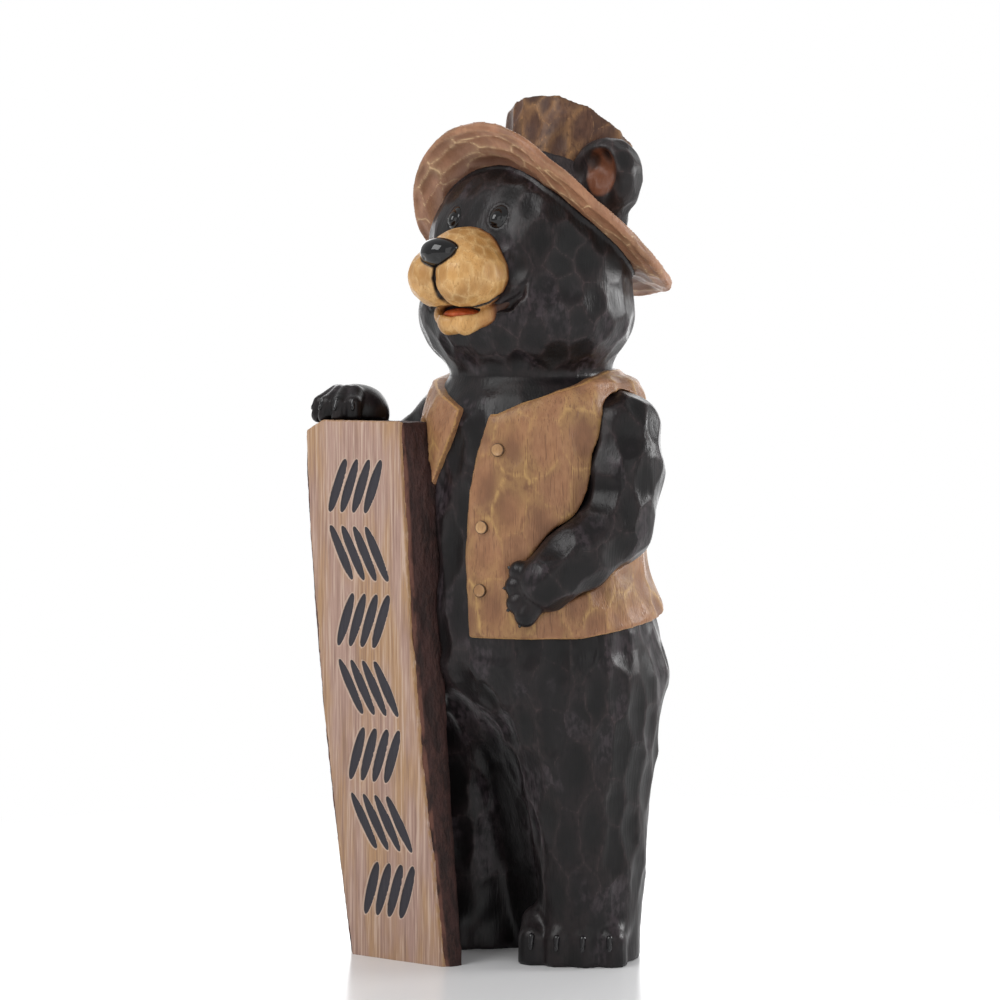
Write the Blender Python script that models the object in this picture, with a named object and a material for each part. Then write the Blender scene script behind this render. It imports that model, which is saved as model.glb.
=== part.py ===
# Chainsaw carved bear with a hat and an open vest, its paw on an upright sign slab.
# Metres, +Z up. The bear faces -Y, its left side is +X, and the origin is on the floor below its axis.
import math
from collections import namedtuple

import bmesh
import bpy
import numpy as np
from mathutils import Matrix, Vector
from mathutils.bvhtree import BVHTree

# Driving dimensions of the bear
BEAR_HEIGHT = 0.885
DRAWN_HEIGHT = 0.885
VEST_THICKNESS = 0.0080
VEST_FLARE = 0.006
BUTTON_DIAMETER = 0.0135
BUTTON_RISE = 0.003
BRIM_THICKNESS = 0.010
BAND_HEIGHT = 0.063
BAND_FOOT = -0.022
BAND_RISE = 0.0025

# Driving dimensions of the sign slab
SIGN_HEIGHT = 0.549
SIGN_FOOT_WIDTH = 0.118
SIGN_TOP_WIDTH = 0.123
SIGN_FOOT_THICKNESS = 0.030
SIGN_TOP_THICKNESS = 0.056
SIGN_LEAN = math.radians(5.9)
SIGN_YAW = math.radians(5.0)
SIGN_BOW = 0.008
SIGN_FACE_FOOT = Vector((-0.066, -0.140, 0.0))
SIGN_CORNER_CUT = 0.012
STROKE_ROWS = 7
STROKES_PER_ROW = 4
STROKE_WIDTH = 0.0125
STROKE_LENGTH = 0.050
STROKE_DEPTH = 0.0025
STROKE_SLANT = math.radians(24)
STROKE_PITCH = 0.0152
STROKE_FIRST_ROW = 0.482
STROKE_ROW_PITCH = 0.0685

# The gap that touching pieces keep
FIT_GAP = 0.0003

# Mesh fineness
VOXEL = 0.0032
SMOOTH_PASSES = 4
BEAR_TRIANGLES = 7500
RING_SIDES = 48

# Chisel facets, as width and height of a cut and its depth
FACET_WIDTH = 0.034
FACET_HEIGHT = 0.052
FACET_DEPTH = 0.0034

Station = namedtuple("Station", "z x y rx ry")


def share(value):
    """A size of the figure, drawn for DRAWN_HEIGHT, as its share of the bear's own height."""
    return value * BEAR_HEIGHT / DRAWN_HEIGHT


def place(x, y, z):
    """A point of the figure from its drawn coordinates."""
    return Vector((share(x), share(y), share(z)))


# Outline of the torso from the hips up to the neck
TORSO = [
    Station(0.190, 0.0, 0.018, 0.050, 0.040),
    Station(0.235, 0.0, 0.018, 0.092, 0.078),
    Station(0.265, 0.0, 0.018, 0.120, 0.106),
    Station(0.288, 0.0, 0.015, 0.132, 0.123),
    Station(0.320, 0.0, 0.006, 0.127, 0.122),
    Station(0.350, 0.0, 0.002, 0.122, 0.120),
    Station(0.405, 0.0, -0.007, 0.113, 0.108),
    Station(0.470, 0.0, -0.006, 0.112, 0.109),
    Station(0.545, 0.0, -0.001, 0.111, 0.107),
    Station(0.570, 0.0, 0.001, 0.106, 0.101),
    Station(0.585, 0.0, 0.001, 0.097, 0.092),
    Station(0.596, 0.0, -0.004, 0.085, 0.083),
    Station(0.625, 0.0, -0.008, 0.084, 0.080),
]

# Outline of the left leg from the ankle up to the thigh
LEG = [
    Station(-0.020, 0.068, 0.002, 0.048, 0.054),
    Station(0.079, 0.074, 0.001, 0.051, 0.059),
    Station(0.107, 0.074, 0.002, 0.052, 0.061),
    Station(0.153, 0.070, 0.002, 0.055, 0.068),
    Station(0.216, 0.067, 0.005, 0.064, 0.081),
    Station(0.278, 0.066, 0.003, 0.065, 0.088),
    Station(0.320, 0.058, 0.000, 0.050, 0.080),
]

# The hat: the brim's middle, its tilt backwards, its turned-up front and its crown
BRIM_CENTRE = (0.0, 0.013, 0.736)
BRIM_TILT = math.radians(35)
BRIM_RADIUS = 0.141
BRIM_FRONT_REACH = 0.007
BRIM_WAVE_LEFT = [(0, 0.031), (10, 0.028), (20, 0.021), (35, 0.005), (50, -0.007), (60, -0.014),
                  (75, -0.0175), (90, -0.0185), (100, -0.0165), (112, -0.012), (126, -0.001),
                  (150, 0.022), (180, 0.032)]
BRIM_WAVE_RIGHT = [(0, 0.031), (20, 0.027), (40, 0.012), (58, 0.0), (75, -0.010), (95, -0.013),
                   (112, -0.006), (126, 0.001), (150, 0.022), (180, 0.032)]
BRIM_WAVE_START = 0.045
BRIM_WAVE_FULL = 0.105
CROWN_TILT = math.radians(32)
CROWN_FOOT = (0.0, 0.009, 0.740)
CROWN_PROFILE = [(-0.025, 0.068), (0.0, 0.068), (0.040, 0.063), (0.072, 0.064),
                 (0.105, 0.0715), (0.121, 0.0725), (0.127, 0.0690)]
CROWN_SLANT = 0.19

# The front of the uncut wood between the legs, by height
WEB_FRONT = [(-0.020, -0.006), (0.080, -0.020), (0.200, -0.055), (0.257, -0.080), (0.300, -0.104)]

# The vest's edges: the turn of its opening, and its neckline and hem by angle from that middle
VEST_MIDDLE = math.radians(10)
NECKLINE = [(9, 0.557), (21, 0.571), (40, 0.586), (63, 0.596), (90, 0.600), (180, 0.602)]
HEM = [(0, 0.334), (50, 0.334), (62, 0.338), (88, 0.346), (118, 0.354), (180, 0.357)]
LEFT_EDGE = [(0.334, 9.2), (0.367, 8.7), (0.414, 6.2), (0.448, 8.2), (0.481, 9.8),
             (0.518, 13.1), (0.557, 18.7)]
RIGHT_EDGE = [(0.334, -24), (0.400, -28), (0.470, -24), (0.496, -17.5), (0.521, -10.5),
              (0.545, -5.0), (0.557, -4.0)]
BUTTONS = [(0.521, 22.1), (0.445, 15.3), (0.381, 14.2)]


def blend_stations(stations, z):
    """The outline's section at a height, by a smooth curve through its stations."""
    index = 0
    while index < len(stations) - 2 and stations[index + 1].z < z:
        index += 1
    before = stations[max(index - 1, 0)]
    start, end = stations[index], stations[index + 1]
    after = stations[min(index + 2, len(stations) - 1)]
    span = end.z - start.z
    t = min(max((z - start.z) / span, 0.0), 1.0)

    def read(name):
        a, b = getattr(start, name), getattr(end, name)
        rise_a = (b - getattr(before, name)) / max(end.z - before.z, 1e-6) * span
        rise_b = (getattr(after, name) - a) / max(after.z - start.z, 1e-6) * span
        t2, t3 = t * t, t * t * t
        first = (2 * t3 - 3 * t2 + 1) * a + (t3 - 2 * t2 + t) * rise_a
        return first + (3 * t2 - 2 * t3) * b + (t3 - t2) * rise_b

    return Station(z, read("x"), read("y"), read("rx"), read("ry"))


def table(rows, value):
    """A value read between the rows of a short table."""
    return float(np.interp(value, [row[0] for row in rows], [row[1] for row in rows]))


def add_loft(shape, rings):
    """Joins rings of points into one closed body with flat ends."""
    loops = []
    for ring in rings:
        loops.append([shape.verts.new(point) for point in ring])
    for lower, upper in zip(loops, loops[1:]):
        for i in range(len(lower)):
            j = (i + 1) % len(lower)
            shape.faces.new((lower[i], lower[j], upper[j], upper[i]))
    shape.faces.new(list(reversed(loops[0])))
    shape.faces.new(loops[-1])


def station_ring(station, side=1.0):
    """The points of an elliptical section, seen from above anticlockwise."""
    ring = []
    for i in range(RING_SIDES):
        angle = math.tau * i / RING_SIDES
        ring.append(place(side * station.x + station.rx * math.cos(angle),
                          station.y + station.ry * math.sin(angle), station.z))
    return ring


def add_column(shape, stations, side=1.0, steps=24):
    """A body that follows an outline of stations."""
    low, high = stations[0].z, stations[-1].z
    heights = [low + (high - low) * i / steps for i in range(steps + 1)]
    add_loft(shape, [station_ring(blend_stations(stations, z), side) for z in heights])


def add_ball(shape, centre, radii, turn=None, fineness=3):
    """An ellipsoid, with an optional turn of its axes."""
    matrix = Matrix.Translation(centre)
    if turn is not None:
        matrix = matrix @ turn
    matrix = matrix @ Matrix.Diagonal((radii[0], radii[1], radii[2], 1.0))
    bmesh.ops.create_icosphere(shape, subdivisions=fineness, radius=1.0, matrix=matrix)


def add_limb(shape, points, radii):
    """A limb of rounded, tapered lengths from joint to joint."""
    for (start, end), (r_start, r_end) in zip(zip(points, points[1:]), zip(radii, radii[1:])):
        length = bmesh.new()
        add_ball(length, start, (r_start,) * 3)
        add_ball(length, end, (r_end,) * 3)
        hull = bmesh.ops.convex_hull(length, input=length.verts[:])
        inside = list({item for item in hull["geom_interior"] if isinstance(item, bmesh.types.BMVert)})
        bmesh.ops.delete(length, geom=inside, context="VERTS")
        merge_into(shape, length)


def merge_into(shape, other):
    """Copies another bmesh into this one and frees it."""
    scratch = bpy.data.meshes.new("scratch")
    other.to_mesh(scratch)
    other.free()
    shape.from_mesh(scratch)
    bpy.data.meshes.remove(scratch)


def torso_point(angle, z, lift=0.0):
    """A point on the torso by angle from the front, towards the bear's left, lifted off its surface."""

    def surface(a, height):
        station = blend_stations(TORSO, height)
        return Vector((station.rx * math.sin(a), station.y - station.ry * math.cos(a), height))

    here = surface(angle, z)
    around = surface(angle + 0.01, z) - here
    upward = surface(angle, z + 0.002) - here
    normal = around.cross(upward).normalized()
    return (here * (BEAR_HEIGHT / DRAWN_HEIGHT)) + normal * lift


def vest_turn(angle):
    """The angle from the vest's middle, the same to both sides, in degrees."""
    turn = abs(math.degrees(angle - VEST_MIDDLE)) % 360
    return min(turn, 360 - turn)


def vest_limits(angle):
    """The vest's hem and neckline heights at an angle from the body's front."""
    return table(HEM, vest_turn(angle)), table(NECKLINE, vest_turn(angle))


def vest_flare(angle, z):
    """How far the vest's hem stands away from the hips, at the sides and the back."""
    beside = min(max((vest_turn(angle) - 50) / 40, 0.0), 1.0)
    low = min(max((0.392 - z) / 0.050, 0.0), 1.2)
    return share(VEST_FLARE) * beside * low ** 1.5


def add_vest(shape, columns=90, rows=22):
    """The vest as a thick sheet over the torso, open at the front."""
    outer, inner = [], []
    for i in range(columns + 1):
        across = i / columns
        outer_row, inner_row = [], []
        for j in range(rows + 1):
            up = j / rows
            angle, z = 0.0, table([(0, 0.34), (1, 0.58)], up)
            for _ in range(3):
                left, right = math.radians(table(LEFT_EDGE, z)), math.radians(360 + table(RIGHT_EDGE, z))
                angle = left + (right - left) * across
                hem, neck = vest_limits(angle)
                z = hem + (neck - hem) * up
            outer_row.append(shape.verts.new(torso_point(angle, z, VEST_THICKNESS + vest_flare(angle, z))))
            inner_row.append(shape.verts.new(torso_point(angle, z, -2 * VEST_THICKNESS)))
        outer.append(outer_row)
        inner.append(inner_row)
    for i in range(columns):
        for j in range(rows):
            shape.faces.new((outer[i][j], outer[i + 1][j], outer[i + 1][j + 1], outer[i][j + 1]))
            shape.faces.new((inner[i][j + 1], inner[i + 1][j + 1], inner[i + 1][j], inner[i][j]))
        shape.faces.new((outer[i][0], inner[i][0], inner[i + 1][0], outer[i + 1][0]))
        shape.faces.new((outer[i + 1][rows], inner[i + 1][rows], inner[i][rows], outer[i][rows]))
    for j in range(rows):
        shape.faces.new((outer[0][j + 1], inner[0][j + 1], inner[0][j], outer[0][j]))
        shape.faces.new((outer[columns][j], inner[columns][j], inner[columns][j + 1], outer[columns][j + 1]))


def add_buttons(shape):
    """Three round buttons down the left panel."""
    for z, degrees in BUTTONS:
        angle = math.radians(degrees)
        foot = torso_point(angle, z, 0.0)
        normal = (torso_point(angle, z, 1.0) - foot).normalized()
        turn = normal.to_track_quat("Z", "Y").to_matrix().to_4x4()
        middle = foot + normal * (VEST_THICKNESS + BUTTON_RISE) / 2
        bmesh.ops.create_cone(shape, cap_ends=True, segments=24, radius1=BUTTON_DIAMETER / 2,
                              radius2=BUTTON_DIAMETER / 2, depth=VEST_THICKNESS + BUTTON_RISE,
                              matrix=Matrix.Translation(middle) @ turn)


def brim_frame():
    """The brim's middle, with its local axes: left, back and the normal of its plane."""
    origin = place(*BRIM_CENTRE)
    back = Vector((0.0, math.cos(BRIM_TILT), -math.sin(BRIM_TILT)))
    normal = Vector((0.0, math.sin(BRIM_TILT), math.cos(BRIM_TILT)))
    return origin, Vector((1.0, 0.0, 0.0)), back, normal


def brim_lift(radius, from_front, side):
    """How far the brim bends off its plane at a radius, an angle from its front and a side of the hat."""
    inner = min(max((radius - BRIM_WAVE_START) / (BRIM_WAVE_FULL - BRIM_WAVE_START), 0.0), 1.0)
    outer = min(max((radius - BRIM_WAVE_FULL) / (BRIM_RADIUS - BRIM_WAVE_FULL), 0.0), 1.2)
    wave = BRIM_WAVE_LEFT if side >= 0 else BRIM_WAVE_RIGHT
    return table(wave, math.degrees(from_front)) * (0.8 * inner * inner * (3 - 2 * inner) + 0.2 * outer)


def add_brim(shape, rings=12):
    """The brim as a round sheet with a rounded edge, turned up at the front."""
    origin, left, back, normal = brim_frame()
    half = share(BRIM_THICKNESS / 2)
    bottom, top = [], []
    for r in range(rings + 1):
        low_ring, high_ring = [], []
        for i in range(RING_SIDES):
            angle = math.tau * i / RING_SIDES
            from_front = math.acos(max(min(-math.sin(angle), 1.0), -1.0))
            reach = BRIM_RADIUS + BRIM_FRONT_REACH * max(math.cos(from_front), 0.0)
            radius = reach * (0.15 + 0.85 * r / rings)
            wide = radius - (half if r == rings else 0.0)
            spot = origin + left * share(wide * math.cos(angle)) + back * share(wide * math.sin(angle))
            spot += normal * share(brim_lift(radius, from_front, math.cos(angle)))
            thin = 0.55 if r == rings else 1.0
            low_ring.append(spot - normal * half * thin)
            high_ring.append(spot + normal * half * thin)
        bottom.append(low_ring)
        top.append(high_ring)
    add_loft(shape, bottom + list(reversed(top)))


def add_crown(shape):
    """The crown, leaning back and flared at its top, with its band."""
    foot = place(*CROWN_FOOT)
    tilt = Matrix.Rotation(-CROWN_TILT, 4, "X")

    def ring(height, radius):
        points = []
        for i in range(RING_SIDES):
            angle = math.tau * i / RING_SIDES
            drop = height * CROWN_SLANT * (0.5 + 0.5 * math.sin(angle))
            across, behind = radius * math.cos(angle), radius * math.sin(angle)
            points.append(foot + tilt @ place(across, behind, height - drop))
        return points

    add_loft(shape, [ring(height, radius) for height, radius in CROWN_PROFILE])
    heights = [BAND_FOOT + (BAND_HEIGHT - BAND_FOOT) * i / 6 for i in range(7)]
    add_loft(shape, [ring(height, table(CROWN_PROFILE, height) + BAND_RISE) for height in heights])


def add_head(shape):
    """The skull and jowls, pressed flat against the brim inside the hat."""
    head = bmesh.new()
    add_ball(head, place(0, -0.008, 0.715), (share(0.113), share(0.094), share(0.105)), fineness=4)
    add_ball(head, place(0, -0.014, 0.658), (share(0.117), share(0.099), share(0.075)), fineness=4)
    origin, left, back, normal = brim_frame()
    for vert in head.verts:
        gap = vert.co - origin
        across, behind, off = gap.dot(left), gap.dot(back), gap.dot(normal)
        radius = max(math.hypot(across, behind), 1e-6)
        from_front = math.acos(max(min(-behind / radius, 1.0), -1.0))
        lift = share(brim_lift(radius / share(1.0), from_front, across))
        if off > lift:
            vert.co -= normal * (off - lift)
    merge_into(shape, head)


def add_face(shape):
    """The muzzle with its two puffs, the jaw, the nose and the eyes."""
    add_ball(shape, place(0, -0.104, 0.716), (share(0.036), share(0.042), share(0.028)))
    jaw = [(-0.045, -0.094, 0.670), (-0.031, -0.111, 0.659), (-0.013, -0.123, 0.6535),
           (0.013, -0.123, 0.6535), (0.031, -0.111, 0.659), (0.045, -0.094, 0.670)]
    add_limb(shape, [place(*joint) for joint in jaw],
             [share(r) for r in (0.0070, 0.0120, 0.0150, 0.0150, 0.0120, 0.0070)])
    add_ball(shape, place(0, -0.149, 0.7185), (share(0.0215), share(0.0145), share(0.0150)))
    for side in (1, -1):
        add_ball(shape, place(side * 0.017, -0.118, 0.692), (share(0.035), share(0.042), share(0.036)))
        add_ball(shape, place(side * 0.029, -0.084, 0.754), (share(0.010), share(0.0085), share(0.0122)))


def add_ears(shape):
    """Round ears at the sides of the crown, dished at the front."""
    for side in (1, -1):
        middle = place(side * 0.0805, 0.023, 0.795)
        add_ball(shape, middle, (share(0.037), share(0.018), share(0.039)))
        for i in range(14):
            angle = math.tau * i / 14
            spot = middle + Vector((math.cos(angle), 0.0, math.sin(angle))) * share(0.0275)
            spot.y -= share(0.011)
            add_ball(shape, spot, (share(0.0105), share(0.0115), share(0.0105)))
        add_limb(shape, [middle - Vector((side * share(0.003), 0, share(0.014))),
                         place(side * 0.076, 0.020, 0.738)], [share(0.024), share(0.020)])


def add_foot(shape, side):
    """A broad foot, turned outwards, with four upright toes and their claws."""
    turn = Matrix.Rotation(math.radians(31) * side, 4, "Z")
    middle = place(0.062, -0.005, 0.004) if side > 0 else place(-0.074, 0.007, 0.004)
    add_ball(shape, middle, (share(0.060), share(0.055), share(0.062)), turn)
    toes = 4
    for i in range(toes):
        across = (i - (toes - 1) / 2) * 0.0265
        reach = 0.046 - 3.6 * across * across
        joints = [middle + turn @ place(across, -forward, height)
                  for forward, height in ((reach, -0.012), (reach, 0.020), (reach - 0.020, 0.036))]
        add_limb(shape, joints, [share(r) for r in (0.0165, 0.0152, 0.0150)])
        claw = [middle + turn @ place(across, -reach - forward, height)
                for forward, height in ((0.0125, 0.031), (0.0165, 0.020))]
        add_limb(shape, claw, [share(0.0042), share(0.0032)])


def add_legs(shape):
    """Both legs with their feet, and the uncut wood between them."""
    for side in (1, -1):
        add_column(shape, LEG, side)
        add_foot(shape, side)
    rings = []
    for z, front in WEB_FRONT:
        rings.append([place(-0.045, front, z), place(0.045, front, z),
                      place(0.045, 0.052, z), place(-0.045, 0.052, z)])
    add_loft(shape, rings)


def add_left_arm(shape):
    """The left arm, bent across the belly, with the hand's four clawed fingers."""
    points = [place(0.104, 0.001, 0.540), place(0.114, -0.003, 0.500), place(0.119, -0.018, 0.446),
              place(0.109, -0.062, 0.418), place(0.095, -0.098, 0.398)]
    add_limb(shape, points, [share(r) for r in (0.039, 0.040, 0.037, 0.032, 0.030)])
    palm = points[-1]
    tips = [place(0.072, -0.114, 0.410), place(0.067, -0.119, 0.391),
            place(0.070, -0.120, 0.372), place(0.079, -0.118, 0.356)]
    for tip in tips:
        way = (tip - palm).normalized()
        knuckle, end = palm.lerp(tip, 0.15), tip - way * share(0.0105)
        add_limb(shape, [knuckle, end], [share(0.0130), share(0.0102)])
        claw = [tip - way * share(0.004), tip + way * share(0.002)]
        add_limb(shape, claw, [share(0.0044), share(0.0024)])


def paw_middle():
    """The middle of the right paw, on the sign's top."""
    return Vector((share(-0.158), share(-0.096), SIGN_HEIGHT + share(0.006)))


def add_right_arm(shape):
    """The right arm behind the sign, with the paw's five fingers over the sign's top."""
    paw = paw_middle()
    wrist = paw + Vector((share(-0.014), share(0.032), share(-0.022)))
    points = [place(-0.110, 0.004, 0.554), place(-0.154, 0.004, 0.518), place(-0.186, 0.002, 0.474),
              wrist, paw]
    add_limb(shape, points, [share(r) for r in (0.036, 0.034, 0.030, 0.023, 0.024)])
    add_ball(shape, paw, (share(0.037), share(0.033), share(0.030)))
    for degrees in (66, 39, 12, -14, -38):
        angle = math.radians(degrees)
        way = Vector((-math.sin(angle), -math.cos(angle), 0.0))
        joints = [paw + way * share(forward) + Vector((0, 0, share(rise)))
                  for forward, rise in ((0.020, 0.020), (0.036, 0.010), (0.039, -0.002))]
        add_limb(shape, joints, [share(r) for r in (0.0095, 0.0085, 0.0080)])
        claw = paw + way * share(0.0415) + Vector((0, 0, share(0.013)))
        add_limb(shape, [claw, claw + way * share(0.0045) - Vector((0, 0, share(0.008)))],
                 [share(0.0036), share(0.0022)])


def evaluated_mesh(thing):
    """A new mesh with the object's modifiers applied."""
    graph = bpy.context.evaluated_depsgraph_get()
    return bpy.data.meshes.new_from_object(thing.evaluated_get(graph))


def new_object(name, mesh):
    """A linked object around a mesh."""
    thing = bpy.data.objects.new(name, mesh)
    bpy.context.scene.collection.objects.link(thing)
    return thing


def fused_bear():
    """All the bear's forms fused into one smooth closed mesh."""
    shape = bmesh.new()
    add_column(shape, TORSO)
    add_head(shape)
    add_face(shape)
    add_ears(shape)
    add_brim(shape)
    add_crown(shape)
    add_legs(shape)
    add_left_arm(shape)
    add_right_arm(shape)
    add_vest(shape)
    add_buttons(shape)
    mesh = bpy.data.meshes.new("forms")
    shape.to_mesh(mesh)
    shape.free()
    forms = new_object("forms", mesh)
    remesh = forms.modifiers.new("Fuse", "REMESH")
    remesh.mode = "VOXEL"
    remesh.voxel_size = VOXEL
    smooth = forms.modifiers.new("Soften", "SMOOTH")
    smooth.factor = 0.5
    smooth.iterations = SMOOTH_PASSES
    fused = evaluated_mesh(forms)
    bpy.data.objects.remove(forms)
    bpy.data.meshes.remove(mesh)
    return fused


def facet_seeds(mesh):
    """Places of the chisel cuts: a jittered brick pattern of points, drawn onto the surface."""
    tree = BVHTree.FromPolygons([v.co for v in mesh.vertices], [p.vertices[:] for p in mesh.polygons])
    chance = np.random.default_rng(7)
    seeds = []
    step_z, step_xy = share(FACET_HEIGHT) * 0.80, share(FACET_WIDTH) * 0.92
    for level in range(int(BEAR_HEIGHT / step_z) + 2):
        for i in range(-8, 9):
            for j in range(-8, 9):
                nudge = (chance.random(3) - 0.5) * 0.55
                spot = Vector(((i + 0.5 * (level % 2) + nudge[0]) * step_xy,
                               (j + 0.5 * (level % 2) + nudge[1]) * step_xy, (level + nudge[2]) * step_z))
                found = tree.find_nearest(spot, step_xy * 0.62)
                if found[0] is not None:
                    seeds.append(found[0])
    return np.array(seeds)


def cut_facets(mesh):
    """Hollows the surface with shallow chisel cuts that meet in ridges."""
    count = len(mesh.vertices)
    points = np.empty(count * 3)
    mesh.vertices.foreach_get("co", points)
    points = points.reshape(-1, 3)
    normals = np.empty(count * 3)
    mesh.vertices.foreach_get("normal", normals)
    normals = normals.reshape(-1, 3)
    scale = np.array((1.0, 1.0, FACET_WIDTH / FACET_HEIGHT)) * 2 / share(FACET_WIDTH)
    seeds = facet_seeds(mesh) * scale
    scaled = points * scale
    nearest = np.empty(count)
    for start in range(0, count, 4096):
        part = scaled[start:start + 4096]
        gap = ((part[:, None, :] - seeds[None, :, :]) ** 2).sum(axis=2)
        nearest[start:start + 4096] = gap.min(axis=1)
    hollow = share(FACET_DEPTH) * (np.minimum(nearest, 1.5) - 0.75)
    fine = (np.abs(points[:, 0]) < share(0.055)) & (points[:, 1] < share(-0.085))
    fine &= points[:, 2] > share(0.63)
    hollow[fine] = 0.0
    points = points + normals * hollow[:, None]
    mesh.vertices.foreach_set("co", points.ravel())
    mesh.update()


def paint(thing, name, colour, roughness):
    """One plain material on the whole object."""
    material = bpy.data.materials.new(name)
    material.use_nodes = True
    shader = material.node_tree.nodes["Principled BSDF"]
    shader.inputs["Base Color"].default_value = (*colour, 1.0)
    shader.inputs["Roughness"].default_value = roughness
    thing.data.materials.clear()
    thing.data.materials.append(material)


def cutter(name, mesh):
    """A hidden object that a Boolean cuts with."""
    thing = new_object(name, mesh)
    thing.hide_render = True
    thing.display_type = "WIRE"
    return thing


def cut_away(thing, tool, name):
    """Cuts one solid with another."""
    modifier = thing.modifiers.new(name, "BOOLEAN")
    modifier.operation = "DIFFERENCE"
    modifier.solver = "EXACT"
    modifier.object = tool


def sign_section(height, grow):
    """The slab's section at a height: a flat face and a round, bark-edged back, as width and depth pairs."""
    up = min(max(height / SIGN_HEIGHT, 0.0), 1.0)
    half = (SIGN_FOOT_WIDTH + (SIGN_TOP_WIDTH - SIGN_FOOT_WIDTH) * up) / 2 + grow
    thick = SIGN_FOOT_THICKNESS + (SIGN_TOP_THICKNESS - SIGN_FOOT_THICKNESS) * min(up / 0.76, 1.0) + 2 * grow
    shoulder = min((SIGN_HEIGHT - height) / 0.055, 1.0) if height < SIGN_HEIGHT else 0.0
    flare = 0.36 * thick * (0.35 + 0.65 * max(shoulder, 0.0))
    wide = half + flare
    belly = 0.60 * thick
    pairs = [(-half, 0.0), (-half * 0.5, 0.0), (0.0, 0.0), (half * 0.5, 0.0), (half, 0.0),
             (half + 0.62 * flare, belly * 0.45)]
    for i in range(13):
        angle = math.pi * i / 12
        pairs.append((wide * abs(math.cos(angle)) ** 0.75 * (1 if i < 6 else -1),
                      belly + (thick - belly) * math.sin(angle)))
    pairs.append((-half - 0.62 * flare, belly * 0.45))
    return [(width, depth - grow) for width, depth in pairs]


def sign_place(width, depth, height):
    """A point of the slab in the world, with its lean, bow and yaw."""
    along = Vector((math.cos(SIGN_YAW), math.sin(SIGN_YAW), 0.0))
    back = Vector((-math.sin(SIGN_YAW), math.cos(SIGN_YAW), 0.0))
    bow = SIGN_BOW * math.sin(math.pi * min(max(height / SIGN_HEIGHT, 0.0), 1.0))
    drift = -math.tan(SIGN_LEAN) * height - bow
    return SIGN_FACE_FOOT + along * (width + drift) + back * depth + Vector((0.0, 0.0, height))


def sign_mesh(name, grow, low, bark):
    """The slab's solid, grown on every side, from a low height up to its top."""
    shape = bmesh.new()
    levels = 18
    rings = []
    top = SIGN_HEIGHT + grow
    for level in range(levels + 1):
        height = low + (top - low) * level / levels
        ring = []
        for i, (width, depth) in enumerate(sign_section(height, grow)):
            swell = math.sin(2.1 * i + 0.9 * math.sin(1.7 * level)) * math.cos(0.8 * level + i)
            rough = bark * (0.5 + 0.5 * swell)
            keep = 1.0 if i < 5 else 1.0 - rough / max(abs(depth) + 0.02, 0.02)
            drop = SIGN_CORNER_CUT * max(-width / (SIGN_TOP_WIDTH / 2) - 0.62, 0.0) / 0.38
            lower = min(height, top - min(drop, SIGN_CORNER_CUT) * 0.9) if grow == 0.0 else height
            narrow = 1.0 if i < 5 else 1.0 - rough / SIGN_TOP_WIDTH
            ring.append(sign_place(width * narrow, depth * keep, lower))
        rings.append(ring)
    add_loft(shape, rings)
    bmesh.ops.remove_doubles(shape, verts=shape.verts, dist=0.00005)
    bmesh.ops.recalc_face_normals(shape, faces=shape.faces)
    mesh = bpy.data.meshes.new(name)
    shape.to_mesh(mesh)
    shape.free()
    return mesh


def stroke_mesh():
    """Rows of slanting, pointed strokes for the sign's face, as one set of cutters."""
    shape = bmesh.new()
    for row in range(STROKE_ROWS):
        lean = STROKE_SLANT * (1 if row % 2 == 0 else -1)
        middle_height = STROKE_FIRST_ROW - STROKE_ROW_PITCH * row
        for number in range(STROKES_PER_ROW):
            middle = (number - (STROKES_PER_ROW - 1) / 2) * STROKE_PITCH
            front, keel = [], []
            for i in range(8):
                angle = math.tau * i / 8
                across = STROKE_WIDTH / 2 * math.cos(angle)
                along = STROKE_LENGTH / 2 * math.sin(angle)
                width = middle + across * math.cos(lean) + along * math.sin(lean)
                height = middle_height - across * math.sin(lean) + along * math.cos(lean)
                deep = middle + 0.45 * across * math.cos(lean) + 0.8 * along * math.sin(lean)
                deep_height = middle_height - 0.45 * across * math.sin(lean) + 0.8 * along * math.cos(lean)
                front.append(sign_place(width, -STROKE_DEPTH, height))
                keel.append(sign_place(deep, STROKE_DEPTH, deep_height))
            add_loft(shape, [keel, front])
    bmesh.ops.recalc_face_normals(shape, faces=shape.faces)
    mesh = bpy.data.meshes.new("stroke_cutters")
    shape.to_mesh(mesh)
    shape.free()
    return mesh


def build_sign():
    """The sign slab with its carved strokes."""
    sign = new_object("sign_slab", sign_mesh("sign_slab", 0.0, 0.0, 0.0025))
    cut_away(sign, cutter("stroke_cutters", stroke_mesh()), "Strokes")
    paint(sign, "sign_wood", (0.52, 0.34, 0.23), 0.65)
    return sign


def build_bear():
    """The carved bear, with a flat underside and the sign's seat cut from it."""
    mesh = fused_bear()
    cut_facets(mesh)
    bear = new_object("bear", mesh)
    decimate = bear.modifiers.new("Facets", "DECIMATE")
    decimate.ratio = BEAR_TRIANGLES / (2 * len(mesh.polygons))
    floor = bmesh.new()
    bmesh.ops.create_cube(floor, size=1.0, matrix=Matrix.Translation((0, 0, -0.5)))
    floor_mesh = bpy.data.meshes.new("floor_cutter")
    floor.to_mesh(floor_mesh)
    floor.free()
    cut_away(bear, cutter("floor_cutter", floor_mesh), "Underside")
    seat = sign_mesh("sign_seat_cutter", FIT_GAP, -0.01, 0.0)
    cut_away(bear, cutter("sign_seat_cutter", seat), "Sign seat")
    paint(bear, "bear_wood", (0.030, 0.024, 0.022), 0.5)
    return bear


def main():
    for thing in list(bpy.data.objects):
        bpy.data.objects.remove(thing, do_unlink=True)
    build_sign()
    build_bear()


main()
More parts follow.
